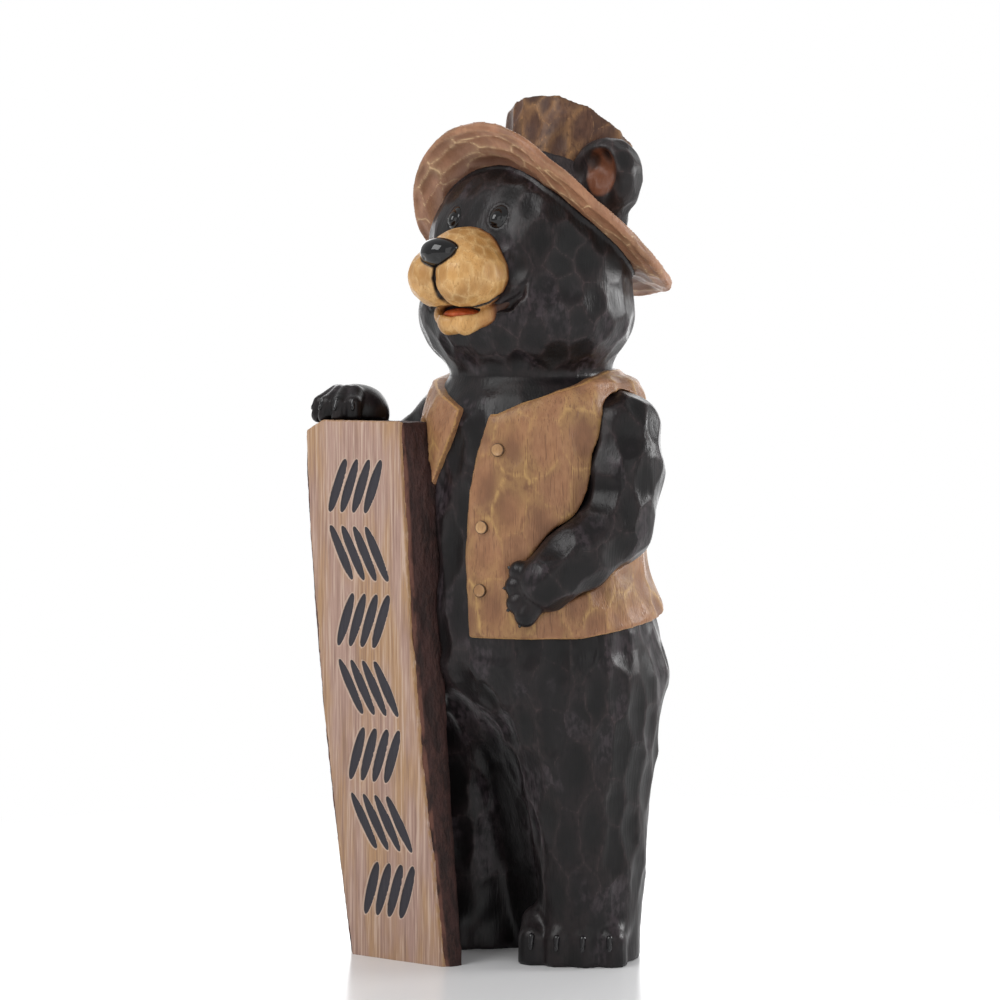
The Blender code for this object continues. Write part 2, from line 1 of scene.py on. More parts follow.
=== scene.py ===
"""Looks of a carved and painted wooden bear that rests one paw on an upright sign slab.

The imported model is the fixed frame. Every form is worked out here at a finer scale, as a field of
distances that is turned into a mesh, so that chisel cuts, claws and brushed ridges can be carved.
Metres, +Z up. The bear faces -Y and its left side is +X.
"""
import logging
import math
from dataclasses import dataclass, field
from enum import Enum
from typing import Callable, Sequence

import bmesh
import bpy
import numpy as np
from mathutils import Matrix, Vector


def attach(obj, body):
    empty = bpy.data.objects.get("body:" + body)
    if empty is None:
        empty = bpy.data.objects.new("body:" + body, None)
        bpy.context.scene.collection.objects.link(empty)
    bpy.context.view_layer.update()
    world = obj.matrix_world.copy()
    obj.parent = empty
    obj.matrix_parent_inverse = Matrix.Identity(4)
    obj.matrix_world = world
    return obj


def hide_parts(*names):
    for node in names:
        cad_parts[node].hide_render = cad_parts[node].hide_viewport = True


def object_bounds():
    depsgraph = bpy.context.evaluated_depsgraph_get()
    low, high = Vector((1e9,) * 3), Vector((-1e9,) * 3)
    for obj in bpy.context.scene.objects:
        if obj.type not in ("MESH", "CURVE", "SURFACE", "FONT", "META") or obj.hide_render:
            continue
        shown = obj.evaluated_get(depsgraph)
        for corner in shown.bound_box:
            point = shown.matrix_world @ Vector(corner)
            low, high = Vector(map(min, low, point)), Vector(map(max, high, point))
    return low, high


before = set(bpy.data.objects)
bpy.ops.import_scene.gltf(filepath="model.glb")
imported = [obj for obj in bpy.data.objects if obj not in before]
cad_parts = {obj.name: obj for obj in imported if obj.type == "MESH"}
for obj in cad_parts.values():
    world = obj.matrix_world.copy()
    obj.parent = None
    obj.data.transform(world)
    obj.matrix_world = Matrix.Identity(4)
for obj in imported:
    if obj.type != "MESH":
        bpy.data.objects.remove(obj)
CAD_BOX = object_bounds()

import openvdb
from mathutils import Matrix, Vector

LOG = logging.getLogger("carved_bear")
Array = np.ndarray
Field = Callable[[Array, Array, Array], Array]
Point = tuple[float, float, float]
Table = tuple[tuple[float, float], ...]
MM = 0.001
TINY = 1e-10
BODY = "root"
# The bear's left side, then its right
SIDES = (1.0, -1.0)
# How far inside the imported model's box every point stays
BOX_INSET = np.array((0.2, 0.2, 0.0), dtype=np.float32) * MM
# Where the head's own piece meets the body's, and how round the neck is
NECK_SEAM = 0.592
NECK_ROUNDING = 12 * MM
# Points along a column's curve, slices of a grid and points of a mesh that are worked out at once
CURVE_STEPS = 400
GRID_SLICES = 16
POINTS_AT_ONCE = 8192
# How many cells beside a surface a grid keeps true distances
GRID_BAND = 4.0


def unit(values: Array) -> Array:
    """Limits values to the span from 0 to 1."""
    return np.clip(values, 0.0, 1.0)


def read_table(rows: Table, values: Array) -> Array:
    """Reads values between the rows of a short table."""
    return np.interp(values, [row[0] for row in rows], [row[1] for row in rows])


def mirrored(point: Point, side: float) -> Point:
    """The point as given for side 1, or its mirror image on the bear's right for side -1."""
    return (side * point[0], point[1], point[2])


def join(a: Array, b: Array, width: float) -> Array:
    """Joins two fields with a rounded seam.

    Args:
        a: Distances to the first form.
        b: Distances to the second form.
        width: How wide the rounding is, in metres.

    Returns:
        Distances to both forms together.
    """
    mix = unit(0.5 + 0.5 * (b - a) / width)
    return b + (a - b) * mix - width * mix * (1.0 - mix)


def common(a: Array, b: Array, width: float) -> Array:
    """Keeps what lies in both fields, with a rounded edge."""
    return -join(-a, -b, width)


def cut(a: Array, b: Array, width: float) -> Array:
    """Cuts the second form out of the first, with a rounded edge."""
    return -join(-a, b, width)


@dataclass(frozen=True)
class Ball:
    """An ellipsoid.

    Attributes:
        centre: Its middle.
        radii: Its half sizes along its own axes.
        turn: Its turn about Z, in radians.
    """

    centre: Point
    radii: Point
    turn: float = 0.0

    def distance(self, x: Array, y: Array, z: Array) -> Array:
        """Distances to the ellipsoid, exact at its surface."""
        dx, dy, dz = x - self.centre[0], y - self.centre[1], z - self.centre[2]
        if self.turn:
            c, s = math.cos(self.turn), math.sin(self.turn)
            dx, dy = c * dx + s * dy, -s * dx + c * dy
        rx, ry, rz = self.radii
        near = np.sqrt((dx / rx) ** 2 + (dy / ry) ** 2 + (dz / rz) ** 2 + TINY)
        steep = np.sqrt((dx / rx ** 2) ** 2 + (dy / ry ** 2) ** 2 + (dz / rz ** 2) ** 2 + TINY)
        return near * (near - 1.0) / steep


@dataclass(frozen=True)
class Limb:
    """A limb of tapered round lengths.

    Attributes:
        joints: The points that it passes through.
        radii: Its radius at each joint.
        soften: The rounding between two lengths.
    """

    joints: tuple[Point, ...]
    radii: tuple[float, ...]
    soften: float = 8 * MM

    def distance(self, x: Array, y: Array, z: Array) -> Array:
        """Distances to the limb."""
        total = None
        for start, end, r_start, r_end in zip(self.joints, self.joints[1:], self.radii, self.radii[1:]):
            axis = [b - a for a, b in zip(start, end)]
            length2 = sum(part * part for part in axis)
            px, py, pz = x - start[0], y - start[1], z - start[2]
            along = unit((px * axis[0] + py * axis[1] + pz * axis[2]) / length2)
            gap = np.sqrt((px - along * axis[0]) ** 2 + (py - along * axis[1]) ** 2
                          + (pz - along * axis[2]) ** 2)
            piece = gap - (r_start + (r_end - r_start) * along)
            total = piece if total is None else join(total, piece, self.soften)
        return total

    def heading(self, points: Array) -> Array:
        """The limb's own direction beside each of the given points."""
        joints = np.array(self.joints)
        middles = (joints[1:] + joints[:-1]) / 2
        ways = joints[1:] - joints[:-1]
        ways /= np.linalg.norm(ways, axis=1)[:, None]
        nearest = ((points[:, None, :] - middles[None]) ** 2).sum(axis=2).argmin(axis=1)
        return ways[nearest]


@dataclass(frozen=True)
class Station:
    """One elliptical section of an upright form: its height, middle and half sizes."""

    z: float
    x: float
    y: float
    rx: float
    ry: float


@dataclass
class Column:
    """An upright form on a smooth curve through its stations.

    Attributes:
        stations: The sections, from low to high.
        side: 1 for the form as given, -1 for its mirror image.
    """

    stations: tuple[Station, ...]
    side: float = 1.0
    heights: Array = field(init=False)
    values: dict[str, Array] = field(init=False)

    def __post_init__(self) -> None:
        """Reads the smooth curve at close heights."""
        low, high = self.stations[0].z, self.stations[-1].z
        self.heights = np.linspace(low, high, CURVE_STEPS)
        self.values = {name: self._curve(name) for name in ("x", "y", "rx", "ry")}

    def _curve(self, name: str) -> Array:
        """The smooth curve of one value through the stations."""
        knots = np.array([station.z for station in self.stations])
        marks = np.array([getattr(station, name) for station in self.stations])
        slopes = np.empty(len(knots))
        slopes[1:-1] = (marks[2:] - marks[:-2]) / (knots[2:] - knots[:-2])
        slopes[0] = (marks[1] - marks[0]) / (knots[1] - knots[0])
        slopes[-1] = (marks[-1] - marks[-2]) / (knots[-1] - knots[-2])
        index = np.clip(np.searchsorted(knots, self.heights, side="right") - 1, 0, len(knots) - 2)
        span = knots[index + 1] - knots[index]
        t = (self.heights - knots[index]) / span
        rise = (2 * t ** 3 - 3 * t ** 2 + 1) * marks[index] + (t ** 3 - 2 * t ** 2 + t) * slopes[index] * span
        rise = rise + (3 * t ** 2 - 2 * t ** 3) * marks[index + 1]
        return rise + (t ** 3 - t ** 2) * slopes[index + 1] * span

    def read(self, name: str, z: Array) -> Array:
        """One value of the section at the given heights."""
        return np.interp(z, self.heights, self.values[name])

    def distance(self, x: Array, y: Array, z: Array) -> Array:
        """Distances to the form, allowing for the slope of its side."""
        rx, ry = self.read("rx", z), self.read("ry", z)
        dx, dy = x - self.side * self.read("x", z), y - self.read("y", z)
        near = np.sqrt((dx / rx) ** 2 + (dy / ry) ** 2 + TINY)
        steep = np.sqrt((dx / rx ** 2) ** 2 + (dy / ry ** 2) ** 2 + TINY)
        slope = np.interp(z, self.heights, np.gradient(self.values["rx"], self.heights))
        wall = near * (near - 1.0) / steep / np.sqrt(1.0 + np.clip(slope, -3.0, 3.0) ** 2)
        ends = np.maximum(self.heights[0] - z, z - self.heights[-1])
        return np.maximum(wall, ends)

    def angle(self, x: Array, y: Array, z: Array) -> Array:
        """The angle round the form, in radians from its front towards the bear's left."""
        rx, ry = self.read("rx", z), self.read("ry", z)
        return np.arctan2((x - self.read("x", z)) / rx, -(y - self.read("y", z)) / ry)

    def surface(self, angle: float, z: float, lift: float = 0.0) -> tuple[Vector, Vector]:
        """A point on the form's side.

        Args:
            angle: Radians from the front towards the bear's left.
            z: Height.
            lift: How far off the surface.

        Returns:
            The point and the outward normal there.
        """

        def spot(a: float, height: float) -> Vector:
            rx, ry = float(self.read("rx", height)), float(self.read("ry", height))
            return Vector((rx * math.sin(a), float(self.read("y", height)) - ry * math.cos(a), height))

        here = spot(angle, z)
        normal = (spot(angle + 0.01, z) - here).cross(spot(angle, z + 0.002) - here).normalized()
        return here + normal * lift, normal


class Region(Enum):
    """The blocks of space that the forms are carved from, as low and high corners."""

    BODY = ((-0.150, -0.150, 0.0), (0.150, 0.150, 0.640))
    HEAD = ((-0.130, -0.125, 0.575), (0.130, 0.105, 0.835))
    MUZZLE = ((-0.070, -0.170, 0.625), (0.070, -0.070, 0.755))
    NOSE = ((-0.030, -0.175, 0.697), (0.030, -0.125, 0.745))
    EYES = ((-0.050, -0.115, 0.735), (0.050, -0.075, 0.775))
    EARS = ((-0.140, -0.015, 0.725), (0.140, 0.060, 0.850))
    HAT = ((-0.160, -0.150, 0.630), (0.160, 0.165, 0.900))
    VEST = ((-0.150, -0.150, 0.322), (0.150, 0.155, 0.615))
    LEFT_ARM = ((0.040, -0.155, 0.325), (0.170, 0.055, 0.600))
    RIGHT_ARM = ((-0.235, -0.155, 0.430), (-0.055, 0.060, 0.605))
    CLAWS = ((-0.235, -0.165, 0.000), (0.170, 0.050, 0.600))
    SIGN = ((-0.225, -0.155, 0.0), (0.010, -0.060, 0.556))


# The grid's cell for each piece: finer for small forms
CELLS = {
    "sign_board": 1.56 * MM, "sign_bark": 1.92 * MM, "left_arm": 2.16 * MM, "right_arm": 2.04 * MM,
    "bear_body": 2.64 * MM, "vest": 2.28 * MM, "hat_brim": 2.28 * MM, "hat_crown": 2.16 * MM,
    "hat_band": 2.16 * MM, "bear_head": 2.04 * MM, "muzzle": 1.32 * MM, "nose": 1.08 * MM,
    "eyes": 0.84 * MM, "tongue": 1.08 * MM, "ears": 1.8 * MM, "claws": 1.92 * MM,
}


def add_object(name: str, data: bpy.types.ID) -> bpy.types.Object:
    """Makes an object and links it to the scene."""
    added = bpy.data.objects.new(name, data)
    bpy.context.scene.collection.objects.link(added)
    return added


def field_mesh(name: str, form: Field, block: Region) -> bpy.types.Object:
    """Turns a field into a mesh object.

    Args:
        name: The piece's name, which also sets the grid's cell.
        form: The field of distances.
        block: The block of space that holds the form.

    Returns:
        The linked, smooth shaded object.
    """
    cell = CELLS[name]
    low, high = (np.array(corner, dtype=np.float32) for corner in block.value)
    low = low - 2 * cell
    counts = np.ceil((high - low) / cell).astype(int) + 3
    axes = [low[i] + cell * np.arange(counts[i], dtype=np.float32) for i in range(3)]
    values = np.empty(counts, dtype=np.float32)
    for start in range(0, counts[0], GRID_SLICES):
        slices = slice(start, start + GRID_SLICES)
        x, y, z = np.meshgrid(axes[0][slices], axes[1], axes[2], indexing="ij")
        values[slices] = form(x, y, z) / cell
    outside = np.float32(1.0)
    for axis in range(3):
        for end in (0, -1):
            side = [slice(None)] * 3
            side[axis] = end
            values[tuple(side)] = np.maximum(values[tuple(side)], outside)
    grid = openvdb.FloatGrid(1.0)
    grid.copyFromArray(np.clip(values, -GRID_BAND, GRID_BAND))
    points, quads = grid.convertToQuads(isovalue=0.0)
    mesh = bpy.data.meshes.new(name)
    mesh.from_pydata((points * cell + low).tolist(), [], quads.tolist())
    mesh.shade_smooth()
    return add_object(name, mesh)


def mesh_points(piece: bpy.types.Object) -> Array:
    """The piece's points as an array."""
    points = np.empty(len(piece.data.vertices) * 3, dtype=np.float32)
    piece.data.vertices.foreach_get("co", points)
    return points.reshape(-1, 3)


def mesh_normals(piece: bpy.types.Object) -> Array:
    """The piece's normals at its points."""
    normals = np.empty(len(piece.data.vertices) * 3, dtype=np.float32)
    piece.data.vertices.foreach_get("normal", normals)
    return normals.reshape(-1, 3)


def set_points(piece: bpy.types.Object, points: Array) -> None:
    """Moves the piece's points."""
    piece.data.vertices.foreach_set("co", points.astype(np.float32).ravel())
    piece.data.update()


def paint_mask(piece: bpy.types.Object, name: str, values: Array) -> None:
    """Stores one number for each point, for a finish to read."""
    layer = piece.data.attributes.new(name, "FLOAT", "POINT")
    layer.data.foreach_set("value", values.astype(np.float32))


def drop_hidden(piece: bpy.types.Object, hidden: Array) -> None:
    """Removes the points that another piece covers, with their faces."""
    shape = bmesh.new()
    shape.from_mesh(piece.data)
    shape.verts.ensure_lookup_table()
    covered = [shape.verts[i] for i in np.flatnonzero(hidden)]
    bmesh.ops.delete(shape, geom=covered, context="VERTS")
    shape.to_mesh(piece.data)
    shape.free()


class Lattice:
    """A block of random numbers that is read as smooth noise, for bark, chips and wavering lines."""

    def __init__(self, seed: int) -> None:
        """Fills the block.

        Args:
            seed: What sets the numbers.
        """
        self.size = 32
        self.table = np.random.default_rng(seed).random((self.size,) * 3).astype(np.float32)

    def read(self, points: Array, scale: float | Array) -> Array:
        """Noise from 0 to 1 at the points.

        Args:
            points: The points, in metres.
            scale: The size of the noise's cells, one number or one for each axis.

        Returns:
            One value for each point.
        """
        spot = points / np.asarray(scale, dtype=np.float32)
        base = np.floor(spot).astype(int)
        part = spot - base
        part = part * part * (3 - 2 * part)
        total = np.zeros(len(points))
        for corner in range(8):
            step = np.array([(corner >> axis) & 1 for axis in range(3)])
            share = np.prod(np.where(step, part, 1 - part), axis=1)
            cell = (base + step) % self.size
            total += share * self.table[cell[:, 0], cell[:, 1], cell[:, 2]]
        return total


DRIFT = Lattice(7)
# What is added to a point to read the noise anew for X, Y and Z
DRIFT_SHIFTS = (0.0, 0.37, 0.73)
# The tone of wood that has no cuts, and a distance at which no ridge colour is left
EVEN_TONE = 0.5
NO_RIDGE = 10 * MM


@dataclass(frozen=True)
class ChiselWork:
    """Shallow gouge cuts that meet in curved ridges.

    Attributes:
        width: The width of a cut, in metres.
        length: Its length along the grain.
        depth: How deep it goes.
        seed: What sets the pattern.
        apart: How far the cuts of a thin sheet's two sides are kept from each other.
        spacing: The least spread between two cuts' middles, and what chance adds to it.
        uneven: How far chance lifts some cuts over others.
        bend: How steep the shallowest cut's bowl is, and what chance adds to it.
        waver: How far the ridges wander, as a share of a cut's width, and over what length.
        bowl: The spread at which a cut's side stops rising, how fast it rises, and how deep it starts.
        crease: The narrow valley along the ridge, as a share of the depth, and its width.
    """

    width: float
    length: float
    depth: float
    seed: int = 1
    apart: float = 0.0
    spacing: tuple[float, float] = (2.0, 1.6)
    uneven: float = 0.35
    bend: tuple[float, float] = (0.70, 0.75)
    waver: tuple[float, float] = (0.16, 11 * MM)
    bowl: tuple[float, float, float] = (1.35, 0.95, 0.68)
    crease: tuple[float, float] = (0.10, 1.0 * MM)

    def places(self, points: Array, ways: Array) -> tuple[Array, Array]:
        """Chooses the middle of each cut, evenly over the surface.

        Args:
            points: The surface's points.
            ways: The grain's direction at each point.

        Returns:
            The middles of the cuts and their directions.
        """
        chance = np.random.default_rng(self.seed)
        open_points, open_ways = points, ways
        middles, directions = [], []
        while len(open_points):
            pick = int(chance.integers(len(open_points)))
            middle, way = open_points[pick], open_ways[pick]
            middles.append(middle)
            directions.append(way)
            reach = self.spacing[0] + self.spacing[1] * chance.random()
            free = self._spread(open_points, middle[None], way[None])[:, 0] > reach
            free[pick] = False
            open_points, open_ways = open_points[free], open_ways[free]
        return np.array(middles), np.array(directions)

    def _spread(self, points: Array, middles: Array, ways: Array) -> Array:
        """Squared distances from points to cuts, counted in half sizes of a cut."""
        gap = (points ** 2).sum(axis=1)[:, None] + (middles ** 2).sum(axis=1)[None] - 2 * points @ middles.T
        along = points @ ways.T - (middles * ways).sum(axis=1)[None]
        across2 = np.maximum(gap - along ** 2, 0.0)
        return across2 / (self.width / 2) ** 2 + along ** 2 / (self.length / 2) ** 2

    def _slope(self, points: Array, middles: Array, ways: Array, strength: Array) -> Array:
        """How fast each cut's spread grows at the points."""
        gap = points - middles
        along = (gap * ways).sum(axis=1)[:, None] * ways
        stretched = (gap - along) / (self.width / 2) ** 2 + along / (self.length / 2) ** 2
        return 2 * strength[:, None] * stretched

    def carve(self, piece: bpy.types.Object, ways: Array | None = None, keep: Array | None = None) -> None:
        """Carves the cuts and stores the ridges and the tone of each cut.

        Args:
            piece: The piece to carve.
            ways: The grain's direction at each point, upright if left out.
            keep: How much of the full depth each point gets, from 0 to 1.
        """
        points, normals = mesh_points(piece), mesh_normals(piece)
        if ways is None:
            ways = np.tile(np.array((0.0, 0.0, 1.0), dtype=np.float32), (len(points), 1))
        laid = (points + normals * self.apart).astype(np.float32)
        middles, directions = self.places(laid, ways)
        chance = np.random.default_rng(self.seed + 100)
        offset = chance.random(len(middles)) * self.uneven
        strength = self.bend[0] + self.bend[1] * chance.random(len(middles))
        tone = chance.random(len(middles))
        share, scale = self.waver
        drift = np.stack([DRIFT.read(points + shift, scale) - 0.5 for shift in DRIFT_SHIFTS], axis=1)
        spots = (laid + drift * self.width * share).astype(np.float32)
        count = len(points)
        ridge, level, shade = np.empty(count), np.empty(count), np.empty(count)
        for start in range(0, count, POINTS_AT_ONCE):
            part = slice(start, min(start + POINTS_AT_ONCE, count))
            spread = self._spread(spots[part], middles, directions) * strength[None] + offset[None]
            order = np.argpartition(spread, 1, axis=1)[:, :2]
            pair = np.take_along_axis(spread, order, axis=1)
            first = np.where(pair[:, 0] <= pair[:, 1], order[:, 0], order[:, 1])
            second = np.where(pair[:, 0] <= pair[:, 1], order[:, 1], order[:, 0])
            slope = (self._slope(spots[part], middles[second], directions[second], strength[second])
                     - self._slope(spots[part], middles[first], directions[first], strength[first]))
            ridge[part] = np.abs(pair[:, 1] - pair[:, 0]) / (np.linalg.norm(slope, axis=1) + 1e-6)
            level[part] = pair.min(axis=1)
            shade[part] = tone[first]
        stop, rise, start_depth = self.bowl
        hollow = self.depth * (np.minimum(level, stop) * rise - start_depth)
        hollow = hollow - self.crease[0] * self.depth * np.exp(-(ridge / self.crease[1]) ** 2)
        if keep is not None:
            hollow = hollow * keep
            shown = np.minimum(keep * 2, 1.0)
            shade = EVEN_TONE + (shade - EVEN_TONE) * shown
            ridge = ridge + (1.0 - shown) * NO_RIDGE
        set_points(piece, points + normals * hollow[:, None])
        paint_mask(piece, "ridge", ridge)
        paint_mask(piece, "tone", shade)
        paint_mask(piece, "level", level)


def linear(hex_colour: str) -> tuple[float, float, float, float]:
    """Turns an sRGB hex colour into linear values with full alpha."""
    parts = [int(hex_colour[i:i + 2], 16) / 255 for i in (1, 3, 5)]
    parts = [part / 12.92 if part <= 0.04045 else ((part + 0.055) / 1.055) ** 2.4 for part in parts]
    return (*parts, 1.0)


def add_node(tree: bpy.types.NodeTree, kind: str, settings: dict | None = None,
             sockets: dict | None = None) -> bpy.types.Node:
    """Adds a node with its settings, values and links.

    Args:
        tree: The node tree.
        kind: The node's type.
        settings: Properties of the node.
        sockets: Input values by name or number; a socket of another node is linked.

    Returns:
        The new node.
    """
    node = tree.nodes.new(kind)
    for name, value in (settings or {}).items():
        setattr(node, name, value)
    for name, value in (sockets or {}).items():
        if isinstance(value, bpy.types.NodeSocket):
            tree.links.new(value, node.inputs[name])
        else:
            node.inputs[name].default_value = value
    return node


def new_material(name: str) -> tuple[bpy.types.Material, bpy.types.NodeTree, bpy.types.Node]:
    """An empty material with its node tree and shader."""
    material = bpy.data.materials.new(name)
    material.use_nodes = True
    return material, material.node_tree, material.node_tree.nodes["Principled BSDF"]


def blend(tree: bpy.types.NodeTree, amount, first, second) -> bpy.types.NodeSocket:
    """Mixes two colours by an amount."""
    return add_node(tree, "ShaderNodeMix", {"data_type": "RGBA"}, {0: amount, 6: first, 7: second}).outputs[2]


def times(tree: bpy.types.NodeTree, *values) -> bpy.types.NodeSocket:
    """Multiplies numbers."""
    total = values[0]
    for value in values[1:]:
        total = add_node(tree, "ShaderNodeMath", {"operation": "MULTIPLY"}, {0: total, 1: value}).outputs[0]
    return total


def ramp(tree: bpy.types.NodeTree, value, low: float, high: float, start: float = 0.0,
         end: float = 1.0) -> bpy.types.NodeSocket:
    """Spreads a number from low..high to start..end, and stops there."""
    return add_node(tree, "ShaderNodeMapRange", {"interpolation_type": "SMOOTHSTEP"},
                    {"Value": value, "From Min": low, "From Max": high,
                     "To Min": start, "To Max": end}).outputs[0]


def mask(tree: bpy.types.NodeTree, name: str) -> bpy.types.NodeSocket:
    """Reads a number stored on the mesh."""
    return add_node(tree, "ShaderNodeAttribute", {"attribute_name": name}).outputs["Fac"]


def noise(tree: bpy.types.NodeTree, size: tuple[float, float, float], detail: float = 3.0,
          shift: float = 0.0) -> bpy.types.NodeSocket:
    """Noise whose blots have a real size along each axis.

    Args:
        tree: The node tree.
        size: The blots' size along X, Y and Z, in metres.
        detail: How much finer noise is laid over it.
        shift: Moves the pattern, so that two like it differ.

    Returns:
        The noise, from 0 to 1.
    """
    place = add_node(tree, "ShaderNodeTexCoord").outputs["Object"]
    scaled = add_node(tree, "ShaderNodeVectorMath", {"operation": "MULTIPLY_ADD"},
                      {0: place, 1: tuple(0.5 / part for part in size), 2: (shift, shift, shift)}).outputs[0]
    return add_node(tree, "ShaderNodeTexNoise", None,
                    {"Vector": scaled, "Scale": 1.0, "Detail": detail}).outputs["Fac"]


def near_line(tree: bpy.types.NodeTree, name: str, width: float, start: float = 0.0) -> bpy.types.NodeSocket:
    """Fades from 1 at a line stored on the mesh to 0 at the given width beside it."""
    return ramp(tree, mask(tree, name), start, width, 1.0, 0.0)


def add_bump(tree: bpy.types.NodeTree, shader: bpy.types.Node, height, depth: float,
             strength: float = 1.0) -> None:
    """Gives the shader a fine relief.

    Args:
        tree: The node tree.
        shader: The shader that shows the relief.
        height: The relief's height, from 0 to 1.
        depth: What 1 stands for, in metres.
        strength: How much of the relief shows.
    """
    bump = add_node(tree, "ShaderNodeBump", None, {"Height": height, "Strength": strength, "Distance": depth})
    tree.links.new(bump.outputs[0], shader.inputs["Normal"])


# The blots of thicker and thinner paint, and the broken marks of the dry brush, along X, Y and Z
CLOUD_SIZE = (16 * MM, 16 * MM, 26 * MM)
BRUSH_SIZE = (3.0 * MM, 3.0 * MM, 5.0 * MM)


@dataclass(frozen=True)
class CarvedPaint:
    """Stain or paint over gouged wood, brushed lighter along the ridges.

    Attributes:
        name: The material's name.
        body: The main colour.
        dark: The colour of the shaded cuts and of the fine grain.
        light: The colour of the cuts that caught more of the dry brush.
        ridge: The colour along the ridges.
        line: The width of the crisp ridge line, in metres, and how much of it shows.
        glow: The width of the soft band beside it, and how much of it shows.
        grain: The width, length and depth of the fine chisel grain.
        grain_dark: How dark the grain is.
        roughness: The surface's roughness.
        sheen: How strongly the bare surface reflects.
        coat: How much clear varnish lies over it.
        edge: The colour along the piece's rim, if it has one, and its width.
        accent_and_shade: A second colour, where the mesh asks for it; on the brim it is a painted shade.
        groove_shadow: The painted shadow in the cut lines, where the mesh asks for it.
        shade: The near black painted shade in deep places, where the mesh asks for it.
        tone_share: How much the cuts differ from each other.
        high_share: How much of the ridge colour washes over the high parts of each cut.
    """

    name: str
    body: str
    dark: str
    light: str
    ridge: str
    line: tuple[float, float] = (0.9 * MM, 0.6)
    glow: tuple[float, float] = (4.0 * MM, 0.4)
    grain: tuple[float, float, float] = (1.2 * MM, 18 * MM, 0.25 * MM)
    grain_dark: float = 0.5
    roughness: float = 0.42
    sheen: float = 0.4
    coat: float = 0.15
    edge: tuple[str, float] | None = None
    accent_and_shade: str | None = None
    groove_shadow: str | None = None
    shade: str | None = None
    tone_share: float = 0.25
    high_share: float = 0.2

    def build(self) -> bpy.types.Material:
        """Builds the material."""
        material, tree, shader = new_material(self.name)
        width, length, depth = self.grain
        grain = noise(tree, (width, width, length), 2.0)
        nicks = noise(tree, (width * 0.8, width * 0.8, length * 0.6), 1.0, 5.0)
        cloud = noise(tree, CLOUD_SIZE, 4.0)
        brush = noise(tree, BRUSH_SIZE, 3.0, 2.0)
        tone, ridge = mask(tree, "tone"), mask(tree, "ridge")
        blot = add_node(tree, "ShaderNodeMath", {"operation": "MULTIPLY_ADD"},
                        {0: tone, 1: self.tone_share, 2: cloud}).outputs[0]
        colour = blend(tree, ramp(tree, blot, 0.42, 0.62 + self.tone_share * 0.8), linear(self.body),
                       linear(self.dark))
        pale = times(tree, ramp(tree, blot, 0.55 + self.tone_share * 0.25, 0.40 + self.tone_share * 0.25),
                     ramp(tree, brush, 0.35, 0.65), 0.7)
        colour = blend(tree, pale, colour, linear(self.light))
        high = times(tree, ramp(tree, mask(tree, "level"), 0.25, 1.15), ramp(tree, brush, 0.20, 0.60),
                     ramp(tree, cloud, 0.32, 0.56), self.high_share)
        colour = blend(tree, high, colour, linear(self.ridge))
        soft = times(tree, ramp(tree, ridge, 0.0, self.glow[0], 1.0, 0.0), ramp(tree, brush, 0.25, 0.62),
                     ramp(tree, cloud, 0.34, 0.58), self.glow[1])
        colour = blend(tree, soft, colour, linear(self.ridge))
        colour = blend(tree, ramp(tree, grain, 0.55, 0.72, 0.0, self.grain_dark), colour, linear(self.dark))
        crisp = times(tree, ramp(tree, ridge, self.line[0] * 0.3, self.line[0], 1.0, 0.0),
                      ramp(tree, brush, 0.32, 0.55), self.line[1])
        colour = blend(tree, crisp, colour, linear(self.ridge))
        colour = blend(tree, ramp(tree, nicks, 0.66, 0.74, 0.0, self.grain_dark), colour, linear(self.dark))
        if self.edge:
            rim = times(tree, near_line(tree, "rim", self.edge[1]), ramp(tree, brush, 0.2, 0.5))
            colour = blend(tree, rim, colour, linear(self.edge[0]))
        # A second colour; on the brim it is painted shade
        if self.accent_and_shade:
            colour = blend(tree, mask(tree, "accent_and_shade"), colour, linear(self.accent_and_shade))
        # Painted shade: near black in deep places, where the mesh asks for it
        if self.shade:
            colour = blend(tree, mask(tree, "shade"), colour, linear(self.shade))
        # Painted shadow in the cut lines, where the mesh asks for it
        if self.groove_shadow:
            colour = blend(tree, mask(tree, "groove_shadow"), colour, linear(self.groove_shadow))
        tree.links.new(colour, shader.inputs["Base Color"])
        cuts = add_node(tree, "ShaderNodeMath", {"operation": "SUBTRACT"}, {0: grain, 1: nicks}).outputs[0]
        add_bump(tree, shader, cuts, depth * 3)
        tree.links.new(ramp(tree, cloud, 0.3, 0.7, self.roughness - 0.07, self.roughness + 0.09),
                       shader.inputs["Roughness"])
        shader.inputs["Specular IOR Level"].default_value = self.sheen
        shader.inputs["Coat Weight"].default_value = self.coat
        shader.inputs["Coat Roughness"].default_value = 0.30
        return material


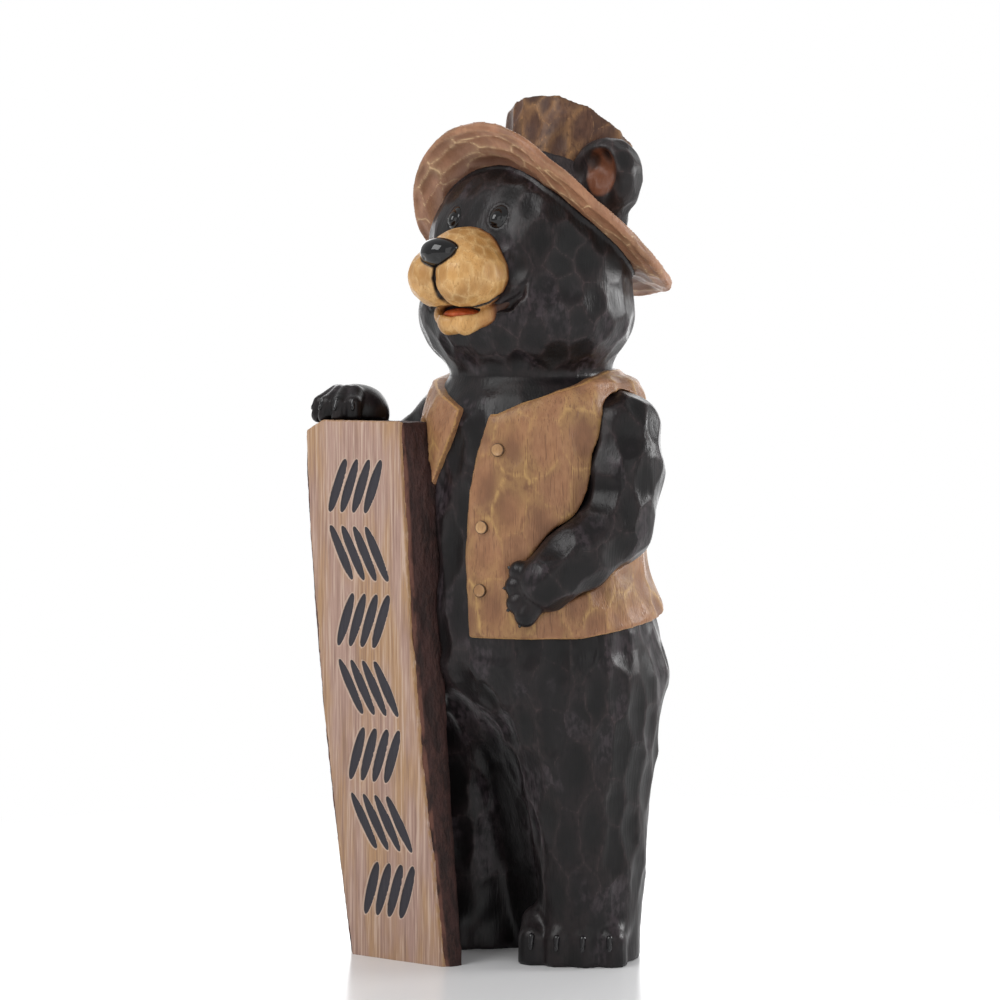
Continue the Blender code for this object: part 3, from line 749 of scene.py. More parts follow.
@dataclass(frozen=True)
class SawnBoard:
    """The slab's sawn face: close upright grain, and strokes filled with charcoal paint.

    Attributes:
        name: The material's name.
        pink: The colour of the paler wood.
        ochre: The colour of the warmer wood.
        pale: The colour of the raised grain and of the strokes' worn outline.
        dark: The colour of the saw lines.
        paint: The colour in the strokes.
        edge: The colour along the slab's edge.
    """

    name: str
    pink: str
    ochre: str
    pale: str
    dark: str
    paint: str
    edge: str

    def build(self) -> bpy.types.Material:
        """Builds the material."""
        material, tree, shader = new_material(self.name)
        band = noise(tree, (14 * MM, 14 * MM, 70 * MM), 3.0)
        line = noise(tree, (0.55 * MM, 0.55 * MM, 22 * MM), 2.0)
        streak = noise(tree, (1.1 * MM, 1.1 * MM, 45 * MM), 3.0, 3.0)
        speck = noise(tree, (1.6 * MM, 1.6 * MM, 5 * MM), 3.0, 6.0)
        colour = blend(tree, ramp(tree, band, 0.40, 0.62), linear(self.pink), linear(self.ochre))
        colour = blend(tree, ramp(tree, streak, 0.52, 0.68, 0.0, 0.50), colour, linear(self.dark))
        colour = blend(tree, ramp(tree, streak, 0.48, 0.34, 0.0, 0.60), colour, linear(self.pale))
        colour = blend(tree, ramp(tree, line, 0.56, 0.70, 0.0, 0.50), colour, linear(self.dark))
        colour = blend(tree, ramp(tree, line, 0.44, 0.32, 0.0, 0.45), colour, linear(self.pale))
        worn = times(tree, near_line(tree, "rim", 2.6 * MM), ramp(tree, speck, 0.34, 0.58), 0.8)
        colour = blend(tree, worn, colour, linear(self.edge))
        stroke = mask(tree, "stroke")
        outline = times(tree, ramp(tree, stroke, 0.6 * MM, 1.8 * MM, 1.0, 0.0), 0.75)
        colour = blend(tree, outline, colour, linear(self.pale))
        colour = blend(tree, ramp(tree, stroke, 0.25 * MM, -0.25 * MM), colour, linear(self.paint))
        tree.links.new(colour, shader.inputs["Base Color"])
        height = add_node(tree, "ShaderNodeMath", {"operation": "MULTIPLY_ADD"},
                          {0: streak, 1: 1.5, 2: line}).outputs[0]
        add_bump(tree, shader, height, 0.5 * MM, 0.8)
        tree.links.new(ramp(tree, streak, 0.3, 0.7, 0.50, 0.66), shader.inputs["Roughness"])
        shader.inputs["Specular IOR Level"].default_value = 0.35
        return material


@dataclass(frozen=True)
class Bark:
    """Bark left on the slab: matt dark furrows, redder on the plates and ochre by the sawn edge.

    Attributes:
        name: The material's name.
        plate: The main colour.
        furrow: The colour between the plates.
        raised: The colour of the highest plates.
        edge: The colour beside the sawn face.
    """

    name: str
    plate: str
    furrow: str
    raised: str
    edge: str

    def build(self) -> bpy.types.Material:
        """Builds the material."""
        material, tree, shader = new_material(self.name)
        coarse = noise(tree, (5 * MM, 5 * MM, 16 * MM), 5.0)
        fine = noise(tree, (1.2 * MM, 1.2 * MM, 3.0 * MM), 4.0, 4.0)
        colour = blend(tree, ramp(tree, coarse, 0.38, 0.60), linear(self.furrow), linear(self.plate))
        high = times(tree, ramp(tree, mask(tree, "height"), 0.50, 0.85), ramp(tree, fine, 0.40, 0.62), 0.5)
        colour = blend(tree, high, colour, linear(self.raised))
        colour = blend(tree, ramp(tree, fine, 0.55, 0.70, 0.0, 0.7), colour, linear(self.furrow))
        near = times(tree, near_line(tree, "rim", 1.8 * MM, 0.2 * MM), ramp(tree, coarse, 0.34, 0.56))
        colour = blend(tree, near, colour, linear(self.edge))
        tree.links.new(colour, shader.inputs["Base Color"])
        add_bump(tree, shader, fine, 1.4 * MM)
        shader.inputs["Roughness"].default_value = 0.72
        shader.inputs["Specular IOR Level"].default_value = 0.3
        return material


@dataclass(frozen=True)
class Enamel:
    """Gloss enamel, brushed thick over the nose, eyes and claws, so that it pools smooth and shines.

    Attributes:
        name: The material's name.
        colour: Its colour.
        roughness: The surface's roughness.
        sheen: How strongly the enamel under the varnish reflects.
        coat: How much clear varnish lies over it.
        ripple: How close the brush's ripples are.
    """

    name: str
    colour: str
    roughness: float = 0.08
    sheen: float = 0.25
    coat: float = 0.6
    ripple: float = 90.0

    def build(self) -> bpy.types.Material:
        """Builds the material."""
        material, tree, shader = new_material(self.name)
        place = add_node(tree, "ShaderNodeTexCoord").outputs["Object"]
        ripple = add_node(tree, "ShaderNodeTexNoise", None,
                          {"Vector": place, "Scale": self.ripple}).outputs["Fac"]
        add_bump(tree, shader, ripple, 0.6 * MM, 0.5)
        shader.inputs["Base Color"].default_value = linear(self.colour)
        shader.inputs["Roughness"].default_value = self.roughness
        shader.inputs["Specular IOR Level"].default_value = self.sheen
        shader.inputs["Coat Weight"].default_value = self.coat
        shader.inputs["Coat Roughness"].default_value = 0.04
        return material


# Satin charcoal paint: nearly black hollows, greyer brushed cuts, thin reddish lines on the ridges, and a
# near black painted shade between the legs
FUR = CarvedPaint("charcoal_fur_paint", "#171315", "#0b090a", "#3e363a", "#5a494a",
                  line=(0.8 * MM, 0.18), glow=(3.0 * MM, 0.12), grain=(1.3 * MM, 22 * MM, 0.08 * MM),
                  grain_dark=0.45, roughness=0.35, sheen=0.25, coat=0.10, shade="#080708",
                  tone_share=0.35, high_share=0.10)
# Walnut stain on the vest: reddish brown hollows, soft ochre on the ridges, fine dark upright nicks
VEST_STAIN = CarvedPaint("vest_walnut_stain", "#966a4b", "#79543b", "#a37755", "#c49d63",
                         line=(1.0 * MM, 0.22), glow=(3.4 * MM, 0.50), grain=(0.8 * MM, 14 * MM, 0.14 * MM),
                         grain_dark=0.85, roughness=0.44, sheen=0.35, coat=0.06, edge=("#c0935c", 1.8 * MM),
                         tone_share=0.12, high_share=0.30)
# Lighter tan stain on the brim, with a painted shade that darkens its underside towards the head, and crisp
# pale ridges round it
BRIM_STAIN = CarvedPaint("hat_brim_stain", "#a17256", "#845c43", "#af8161", "#e2c195",
                         line=(0.8 * MM, 0.70), glow=(2.6 * MM, 0.28), grain=(1.1 * MM, 9 * MM, 0.08 * MM),
                         grain_dark=0.35, roughness=0.46, sheen=0.35, coat=0.06, accent_and_shade="#5e3d2e",
                         tone_share=0.20, high_share=0.12)
# The crown is a darker, redder brown than the brim, with ochre streaks down it
CROWN_STAIN = CarvedPaint("hat_crown_stain", "#573c30", "#442e24", "#694a39", "#b08558",
                          line=(0.8 * MM, 0.40), glow=(4.0 * MM, 0.28), grain=(1.1 * MM, 12 * MM, 0.09 * MM),
                          roughness=0.46, sheen=0.22, coat=0.06, tone_share=0.30, high_share=0.35)
# Flat charcoal paint on the hat's band
BAND_PAINT = CarvedPaint("hat_band_paint", "#3d3536", "#2a2425", "#4a4142", "#5c504e",
                         line=(0.7 * MM, 0.2), glow=(3.0 * MM, 0.1), roughness=0.5, sheen=0.3, coat=0.0)
# Ochre paint on the muzzle with short dark nicks, brushed to orange brown where it meets the fur, with near
# black painted shade in the crease against the fur and painted shadow in its cut lines
MUZZLE_PAINT = CarvedPaint("muzzle_ochre_paint", "#cb9a5c", "#a87942", "#dbb075", "#efcf98",
                           line=(0.7 * MM, 0.18), glow=(2.0 * MM, 0.15), grain=(0.8 * MM, 5 * MM, 0.12 * MM),
                           grain_dark=0.75, roughness=0.42, sheen=0.35, coat=0.10, accent_and_shade="#8a4a1c",
                           groove_shadow="#1d100b", shade="#1c1210", tone_share=0.14, high_share=0.22)
# Black paint on the ears, with the dish brushed reddish brown
EAR_PAINT = CarvedPaint("ear_paint", "#211d1e", "#141213", "#373133", "#5a4a49",
                        line=(0.8 * MM, 0.30), glow=(3.0 * MM, 0.15), grain=(1.3 * MM, 12 * MM, 0.10 * MM),
                        roughness=0.44, sheen=0.30, coat=0.05, accent_and_shade="#774830", tone_share=0.30,
                        high_share=0.15)
# Orange red in the open mouth
TONGUE_PAINT = CarvedPaint("tongue_paint", "#c2562a", "#8a3d18", "#cd6c3a", "#cd6c3a", roughness=0.45,
                           coat=0.0)
# Turned wooden buttons, golden like the vest's ridges, dark round the rim
BUTTON_STAIN = CarvedPaint("button_stain", "#b98f62", "#8a6440", "#cda678", "#dab98a",
                           grain=(0.7 * MM, 4 * MM, 0.1 * MM), roughness=0.42, edge=("#3f2917", 1.2 * MM))
# Pinkish and ochre sapwood with a pale raised grain, and charcoal paint in the strokes
BOARD_WOOD = SawnBoard("sign_board_wood", "#ab8c7f", "#ae8a68", "#cdb4a2", "#83675a", "#38363c", "#a67f56")
# Smooth old bark, a dark reddish brown, warmer in one thin line beside the sawn face
BARK = Bark("sign_bark", "#3e2825", "#2a1c1a", "#4e332c", "#68453a")
# Wet black gloss on the nose and eyes, a little duller on the claws
GLOSS_BLACK = Enamel("gloss_black_enamel", "#0b0a0c")
CLAW_BLACK = Enamel("claw_black_enamel", "#121013", roughness=0.16)


def dress(piece: bpy.types.Object, material: bpy.types.Material, node: str) -> bpy.types.Object:
    """Gives a piece its finish and its place in the frame, and reports it.

    Args:
        piece: The piece.
        material: Its finish.
        node: The solid that it stands for.

    Returns:
        The same piece.
    """
    low, high = (np.array(corner, dtype=np.float32) for corner in CAD_BOX)
    set_points(piece, np.clip(mesh_points(piece), low + BOX_INSET, high - BOX_INSET))
    piece.data.materials.clear()
    piece.data.materials.append(material)
    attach(piece, BODY)
    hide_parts(node)
    LOG.info("%s: %d faces, finish %s", piece.name, len(piece.data.polygons), material.name)
    return piece


@dataclass
class SignSlab:
    """The upright slab: a flat face with carved strokes, and bark round its sides and back."""

    height: float = 0.549
    foot_width: float = 0.118
    top_width: float = 0.123
    foot_thickness: float = 0.030
    top_thickness: float = 0.056
    lean: float = math.radians(5.9)
    yaw: float = math.radians(5.0)
    bow: float = 0.008
    face_foot: Point = (-0.066, -0.140, 0.0)
    board: float = 5 * MM
    rows: int = 7
    strokes: int = 4
    stroke_width: float = 0.0112
    stroke_length: float = 0.060
    stroke_depth: float = 0.0026
    stroke_slant: float = math.radians(24)
    stroke_pitch: float = 0.0152
    first_row: float = 0.482
    row_pitch: float = 0.0685
    # Shares of the height at which it stops thickening, and of the thickness for its flare and belly
    thickest_at: float = 0.76
    flare_share: float = 0.36
    belly_share: float = 0.60
    shoulder: float = 0.055
    corner_drop: float = 0.012
    # The shadow gap by which the bear's pieces stay clear of it, and that cut's rounding
    gap: float = 0.4 * MM
    gap_edge: float = 1.0 * MM
    # The saw's lines, the edge's nicks, the bark's plates and its crumbs, along X, Y and Z
    saw_size: Point = (1.7 * MM, 1.7 * MM, 60 * MM)
    nick_size: Point = (3 * MM, 3 * MM, 9 * MM)
    plate_size: Point = (7 * MM, 7 * MM, 26 * MM)
    crumb_size: Point = (2.6 * MM, 2.6 * MM, 5.5 * MM)

    def local(self, x: Array, y: Array, z: Array) -> tuple[Array, Array]:
        """Width and depth in the slab's own upright frame."""
        dx, dy = x - self.face_foot[0], y - self.face_foot[1]
        c, s = math.cos(self.yaw), math.sin(self.yaw)
        up = unit(z / self.height)
        drift = math.tan(self.lean) * z + self.bow * np.sin(math.pi * up)
        return c * dx + s * dy + drift, -s * dx + c * dy

    def section(self, x: Array, y: Array, z: Array) -> tuple[Array, Array, Array]:
        """Distances to the slab's outline, with width and depth."""
        width, depth = self.local(x, y, z)
        up = unit(z / self.height)
        half = (self.foot_width + (self.top_width - self.foot_width) * up) / 2
        rise = np.minimum(up / self.thickest_at, 1.0)
        thick = self.foot_thickness + (self.top_thickness - self.foot_thickness) * rise
        shoulder = unit((self.height - z) / self.shoulder)
        flare = self.flare_share * thick * (0.35 + 0.65 * shoulder)
        belly = self.belly_share * thick
        t = unit(depth / belly)
        front = np.abs(width) - (half + flare * (1.0 - (1.0 - t) ** 1.6))
        back_t = np.clip((depth - belly) / (thick - belly), 0.0, 1.5)
        wide = half + flare
        across = np.abs(width / wide)
        steep = np.sqrt((2.67 * across ** 1.67 / wide) ** 2 + (2 * back_t / (thick - belly)) ** 2 + 1.0)
        side = np.maximum(front * 0.9, (across ** 2.67 + back_t ** 2 - 1.0) / steep)
        corner = self.corner_drop * unit((-width / (self.top_width / 2) - 0.62) / 0.38)
        top = z - (self.height - corner)
        return np.maximum(np.maximum(side, -depth), top), width, depth

    def clear(self, form: Array, x: Array, y: Array, z: Array) -> Array:
        """Cuts the whole slab out of a form, with the shadow gap round it."""
        return cut(form, self.section(x, y, z)[0] - self.gap, self.gap_edge)

    def half_width(self, z: Array) -> Array:
        """Half the face's width at the given heights."""
        return (self.foot_width + (self.top_width - self.foot_width) * z / self.height) / 2

    def stroke_distance(self, width: Array, z: Array) -> Array:
        """Distances on the face to the nearest stroke's outline."""
        nearest = np.full(width.shape, 1.0, dtype=np.float32)
        for row in range(self.rows):
            lean = self.stroke_slant * (1 if row % 2 == 0 else -1)
            middle_height = self.first_row - self.row_pitch * row
            for number in range(self.strokes):
                middle = (number - (self.strokes - 1) / 2) * self.stroke_pitch
                dw, dz = width - middle, z - middle_height
                across = dw * math.cos(lean) - dz * math.sin(lean)
                along = dw * math.sin(lean) + dz * math.cos(lean)
                taper = unit(1.0 - (2 * along / self.stroke_length) ** 2)
                outline = np.abs(across) - self.stroke_width / 2 * taper ** 0.45
                outline = np.maximum(outline, np.abs(along) - self.stroke_length / 2)
                nearest = np.minimum(nearest, outline)
        return nearest

    def board_field(self, x: Array, y: Array, z: Array) -> Array:
        """Distances to the sawn face with its strokes cut in."""
        outline, width, depth = self.section(x, y, z)
        board = common(outline, depth - self.board, 1.2 * MM)
        wave = 0.5 * MM * np.sin(z * 38.0 + 1.0) + 0.35 * MM * np.sin(z * 97.0)
        side = np.abs(width) - self.half_width(z)
        board = np.maximum(board, side + 0.9 * MM + wave - 0.5 * depth)
        stroke = self.stroke_distance(width, z)
        floor = depth - self.stroke_depth + 0.5 * np.clip(stroke + 2 * MM, 0.0, 2 * MM)
        return np.maximum(board, -np.maximum(stroke * 0.9, floor))

    def bark_field(self, x: Array, y: Array, z: Array) -> Array:
        """Distances to the smooth form under the bark."""
        outline, width, depth = self.section(x, y, z)
        return common(outline + 1.6 * MM, (self.board - 1.5 * MM) - depth, 1.0 * MM)

    def build(self) -> None:
        """Makes and dresses the board and the bark."""
        board = field_mesh("sign_board", self.board_field, Region.SIGN)
        points, normals = mesh_points(board), mesh_normals(board)
        saw = DRIFT.read(points, self.saw_size) - 0.5
        nick = unit(DRIFT.read(points + 0.5, self.nick_size) - 0.70)
        x, y, z = points.T
        width, depth = self.local(x, y, z)
        rim = np.minimum(self.half_width(z) - np.abs(width), self.height - z)
        near_edge = unit(1.0 - rim / (5 * MM))
        stroke = self.stroke_distance(width, z)
        calm = unit(stroke / (1.5 * MM))
        lift = 0.30 * MM * saw * calm - 5.0 * MM * nick * near_edge
        set_points(board, points + normals * lift[:, None])
        paint_mask(board, "stroke", np.where(depth < self.stroke_depth + 1 * MM, stroke, 1.0))
        paint_mask(board, "rim", np.maximum(rim, 0.0))
        dress(board, BOARD_WOOD.build(), "sign_slab")
        bark = field_mesh("sign_bark", self.bark_field, Region.SIGN)
        points, normals = mesh_points(bark), mesh_normals(bark)
        depth = self.local(*points.T)[1]
        plates = 1.0 - np.abs(2 * DRIFT.read(points, self.plate_size) - 1.0)
        crumb = DRIFT.read(points + 0.3, self.crumb_size)
        height = 0.65 * plates + 0.35 * crumb
        free = unit((self.height - points[:, 2]) / (4 * MM)) * (normals[:, 1] > -0.95)
        set_points(bark, points + normals * ((height * 2.1 - 0.8) * MM * free)[:, None])
        paint_mask(bark, "height", height)
        paint_mask(bark, "rim", np.maximum(depth - self.board, 0.0))
        dress(bark, BARK.build(), "sign_slab")


@dataclass
class Arms:
    """Both arms: the left over the belly, the right behind the sign with its paw on the sign's top."""

    sign_height: float
    left: Limb = Limb(((0.109, 0.006, 0.540), (0.115, -0.002, 0.500), (0.119, -0.018, 0.446),
                       (0.109, -0.062, 0.416), (0.095, -0.096, 0.392)),
                      (0.039, 0.041, 0.038, 0.033, 0.029), 10 * MM)
    left_tips: tuple[Point, ...] = ((0.066, -0.117, 0.406), (0.063, -0.1205, 0.386),
                                    (0.068, -0.1210, 0.365), (0.080, -0.118, 0.350))
    paw_angles: tuple[float, ...] = (66.0, 39.0, 12.0, -14.0, -38.0)
    paw_radii: Point = (0.035, 0.033, 0.030)
    # Radii from the knuckle to the tip of a finger, and from the root to the point of a claw
    left_finger: tuple[float, ...] = (0.0140, 0.0114)
    right_finger: tuple[float, ...] = (0.0095, 0.0085, 0.0080)
    left_claw: tuple[float, ...] = (0.0036, 0.0020)
    right_claw: tuple[float, ...] = (0.0036, 0.0022)
    elbow: Point = (-0.186, 0.002, 0.474)
    left_cuts: ChiselWork = ChiselWork(0.026, 0.044, 2.4 * MM, seed=21)
    right_cuts: ChiselWork = ChiselWork(0.024, 0.040, 2.0 * MM, seed=22)

    def __post_init__(self) -> None:
        """Works out the right arm from the sign's top."""
        self.paw: Point = (-0.161, -0.096, self.sign_height + 0.006)
        wrist = (self.paw[0] - 0.014, self.paw[1] + 0.032, self.paw[2] - 0.022)
        self.right = Limb(((-0.110, 0.004, 0.554), (-0.154, 0.004, 0.518), self.elbow, wrist, self.paw),
                          (0.036, 0.034, 0.030, 0.023, 0.024), 10 * MM)

    def left_fingers(self) -> list[Limb]:
        """The left hand's fingers."""
        palm = Vector(self.left.joints[-1])
        fingers = []
        for tip in self.left_tips:
            way = (Vector(tip) - palm).normalized()
            knuckle = palm.lerp(Vector(tip), 0.15)
            fingers.append(Limb((tuple(knuckle), tuple(Vector(tip) - way * 0.0105)), self.left_finger))
        return fingers

    def paw_ways(self) -> list[Vector]:
        """The level directions in which the right paw's fingers spread."""
        angles = [math.radians(degrees) for degrees in self.paw_angles]
        return [Vector((-math.sin(angle), -math.cos(angle), 0.0)) for angle in angles]

    def right_fingers(self) -> list[Limb]:
        """The right paw's fingers, spread over the sign's top."""
        paw = Vector(self.paw)
        fingers = []
        for way in self.paw_ways():
            knuckle = paw + way * 0.020 + Vector((0, 0, 0.020))
            bend = paw + way * 0.036 + Vector((0, 0, 0.010))
            tip = paw + way * 0.039 + Vector((0, 0, -0.002))
            fingers.append(Limb((tuple(knuckle), tuple(bend), tuple(tip)), self.right_finger, 2 * MM))
        return fingers

    def claws(self) -> list[Limb]:
        """The claws of both hands."""
        found = []
        palm = Vector(self.left.joints[-1])
        for tip in self.left_tips:
            point = Vector(tip)
            way = (point - palm).normalized()
            found.append(Limb((tuple(point - way * 0.003), tuple(point + way * 0.0015)), self.left_claw))
        paw = Vector(self.paw)
        for way in self.paw_ways():
            root = paw + way * 0.0415 + Vector((0, 0, 0.013))
            tip = root + way * 0.0045 - Vector((0, 0, 0.008))
            found.append(Limb((tuple(root), tuple(tip)), self.right_claw))
        return found

    def left_field(self, x: Array, y: Array, z: Array) -> Array:
        """Distances to the left arm and hand."""
        arm = self.left.distance(x, y, z)
        for finger in self.left_fingers():
            arm = join(arm, finger.distance(x, y, z), 2 * MM)
        return arm

    def right_field(self, x: Array, y: Array, z: Array) -> Array:
        """Distances to the right arm and paw."""
        arm = self.right.distance(x, y, z)
        arm = join(arm, Ball(self.paw, self.paw_radii).distance(x, y, z), 5 * MM)
        for finger in self.right_fingers():
            arm = join(arm, finger.distance(x, y, z), 2 * MM)
        return arm

    def build(self, sign: SignSlab) -> None:
        """Makes and dresses both arms."""
        left = field_mesh("left_arm", self.left_field, Region.LEFT_ARM)
        points = mesh_points(left)
        near_tip = np.min([np.linalg.norm(points - np.array(tip), axis=1) for tip in self.left_tips], axis=0)
        keep = unit((near_tip - 0.020) / 0.020)
        self.left_cuts.carve(left, self.left.heading(points), keep)
        dress(left, FUR.build(), "bear")

        def right_form(x: Array, y: Array, z: Array) -> Array:
            return sign.clear(self.right_field(x, y, z), x, y, z)

        right = field_mesh("right_arm", right_form, Region.RIGHT_ARM)
        points = mesh_points(right)
        keep = np.clip((np.linalg.norm(points - np.array(self.paw), axis=1) - 0.030) / 0.040, 0.15, 1.0)
        self.right_cuts.carve(right, self.right.heading(points), keep)
        dress(right, FUR.build(), "bear")


@dataclass
class Torso:
    """The dark wood of the torso, legs and feet."""

    torso: Column = field(default_factory=lambda: Column((
        Station(0.190, 0.0, 0.018, 0.050, 0.040), Station(0.235, 0.0, 0.018, 0.092, 0.078),
        Station(0.265, 0.0, 0.018, 0.120, 0.106),
        Station(0.288, 0.0, 0.015, 0.132, 0.123), Station(0.320, 0.0, 0.006, 0.127, 0.122),
        Station(0.350, 0.0, 0.002, 0.122, 0.120), Station(0.405, 0.0, -0.007, 0.113, 0.108),
        Station(0.470, 0.0, -0.006, 0.112, 0.109), Station(0.545, 0.0, -0.001, 0.111, 0.107),
        Station(0.570, 0.0, 0.001, 0.106, 0.101), Station(0.585, 0.0, 0.001, 0.097, 0.092),
        Station(0.596, 0.0, -0.004, 0.085, 0.083), Station(0.625, 0.0, -0.008, 0.084, 0.080))))
    leg_stations: tuple[Station, ...] = (
        Station(-0.020, 0.068, 0.002, 0.048, 0.054), Station(0.079, 0.074, 0.001, 0.051, 0.059),
        Station(0.107, 0.074, 0.002, 0.052, 0.061), Station(0.153, 0.070, 0.002, 0.055, 0.068),
        Station(0.216, 0.067, 0.005, 0.064, 0.081), Station(0.278, 0.066, 0.003, 0.065, 0.088),
        Station(0.320, 0.058, 0.000, 0.050, 0.080))
    web_front: Table = ((-0.020, -0.006), (0.080, -0.020), (0.200, -0.055), (0.257, -0.080), (0.300, -0.104))
    web_half_width: float = 0.045
    web_back: float = 0.052
    web_top: float = 0.300
    splay: float = math.radians(31)
    left_foot: Point = (0.062, -0.005, 0.004)
    right_foot: Point = (-0.074, 0.007, 0.004)
    foot_radii: Point = (0.060, 0.055, 0.062)
    toes: int = 4
    toe_pitch: float = 0.0265
    toe_reach: float = 0.046
    # How fast the outer toes fall back
    toe_arch: float = 3.6
    cuts: ChiselWork = ChiselWork(0.028, 0.062, 3.0 * MM, seed=11)
    # How far under the vest its points go, how far it runs on above the seam, and over what height its
    # cuts fade towards the seam
    cover: float = 3.5 * MM
    overlap: float = 10 * MM
    fade: float = 60 * MM

    def __post_init__(self) -> None:
        """Makes the legs from their stations."""
        self.legs = [Column(self.leg_stations, side) for side in SIDES]

    def foot_middle(self, side: float) -> Vector:
        """The middle of a foot."""
        return Vector(self.left_foot if side > 0 else self.right_foot)

    def toe_place(self, side: float, number: int, forward: float, height: float) -> Vector:
        """A point in front of a toe's place."""
        across = (number - (self.toes - 1) / 2) * self.toe_pitch
        reach = self.toe_reach - self.toe_arch * across * across + forward
        turn = Matrix.Rotation(self.splay * side, 4, "Z")
        return self.foot_middle(side) + turn @ Vector((across, -reach, height))

    def foot_field(self, side: float, x: Array, y: Array, z: Array) -> Array:
        """Distances to one foot with its toes, upright where they meet the ground."""
        turn = self.splay * side
        foot = Ball(tuple(self.foot_middle(side)), self.foot_radii, turn).distance(x, y, z)
        for number in range(self.toes):
            low, high = (tuple(self.toe_place(side, number, 0.0, height)) for height in (-0.012, 0.020))
            toe = Limb((low, high), (0.0165, 0.0152)).distance(x, y, z)
            knuckle = Limb((high, tuple(self.toe_place(side, number, -0.020, 0.036))), (0.0150, 0.0150))
            toe = join(toe, knuckle.distance(x, y, z), 3 * MM)
            foot = join(foot, toe, 4.5 * MM)
        return foot

    def web_field(self, x: Array, y: Array, z: Array) -> Array:
        """Distances to the uncut wood between the legs."""
        front = 0.9 * (read_table(self.web_front, z) - y)
        web = np.maximum(np.maximum(np.abs(x) - self.web_half_width, front), y - self.web_back)
        return np.maximum(web, z - self.web_top)

    def field(self, x: Array, y: Array, z: Array) -> Array:
        """Distances to torso, legs and feet."""
        body = self.torso.distance(x, y, z)
        lower = None
        for side, leg in zip(SIDES, self.legs):
            limb = join(leg.distance(x, y, z), self.foot_field(side, x, y, z), 10 * MM)
            lower = limb if lower is None else join(lower, limb, 6 * MM)
        soft = (10 + 22 * unit((z - 0.150) / 0.100)) * MM
        lower = join(lower, self.web_field(x, y, z), soft)
        body = join(body, lower, 20 * MM)
        return np.maximum(body, -z)

    def build(self, sign: SignSlab, vest: "Vest", head: "Head") -> None:
        """Makes and dresses the dark body, without what the vest and the head's own piece cover."""

        def form(x: Array, y: Array, z: Array) -> Array:
            whole = join(self.field(x, y, z), head.dark_field(x, y, z), NECK_ROUNDING)
            return sign.clear(whole, x, y, z)

        body = field_mesh("bear_body", form, Region.BODY)
        x, y, z = mesh_points(body).T
        drop_hidden(body, (vest.field(x, y, z) < -self.cover) | (z > NECK_SEAM + self.overlap))
        points = mesh_points(body)
        z = points[:, 2]
        keep = unit(z / 0.012) * np.clip((z - 0.050) / 0.035, 0.12, 1.0)
        keep *= unit((NECK_SEAM - z) / self.fade)
        between = unit(1.0 - np.abs(points[:, 0]) / 0.030) * unit((0.235 - z) / 0.020)
        keep *= 1.0 - 0.8 * between
        self.cuts.carve(body, keep=keep)
        tucked = 0.2 * MM * unit((z - NECK_SEAM - 1 * MM) / (2 * MM))
        set_points(body, mesh_points(body) - mesh_normals(body) * tucked[:, None])
        # Painted shade: near black between the legs, under the belly
        paint_mask(body, "shade", np.clip(between * 1.6, 0.0, 0.85))
        dress(body, FUR.build(), "bear")

    def claws(self) -> list[Limb]:
        """The claws of both feet."""
        found = []
        for side in SIDES:
            for number in range(self.toes):
                root = self.toe_place(side, number, 0.0140, 0.026)
                tip = self.toe_place(side, number, 0.0180, 0.015)
                found.append(Limb((tuple(root), tuple(tip)), (0.0036, 0.0026)))
        return found


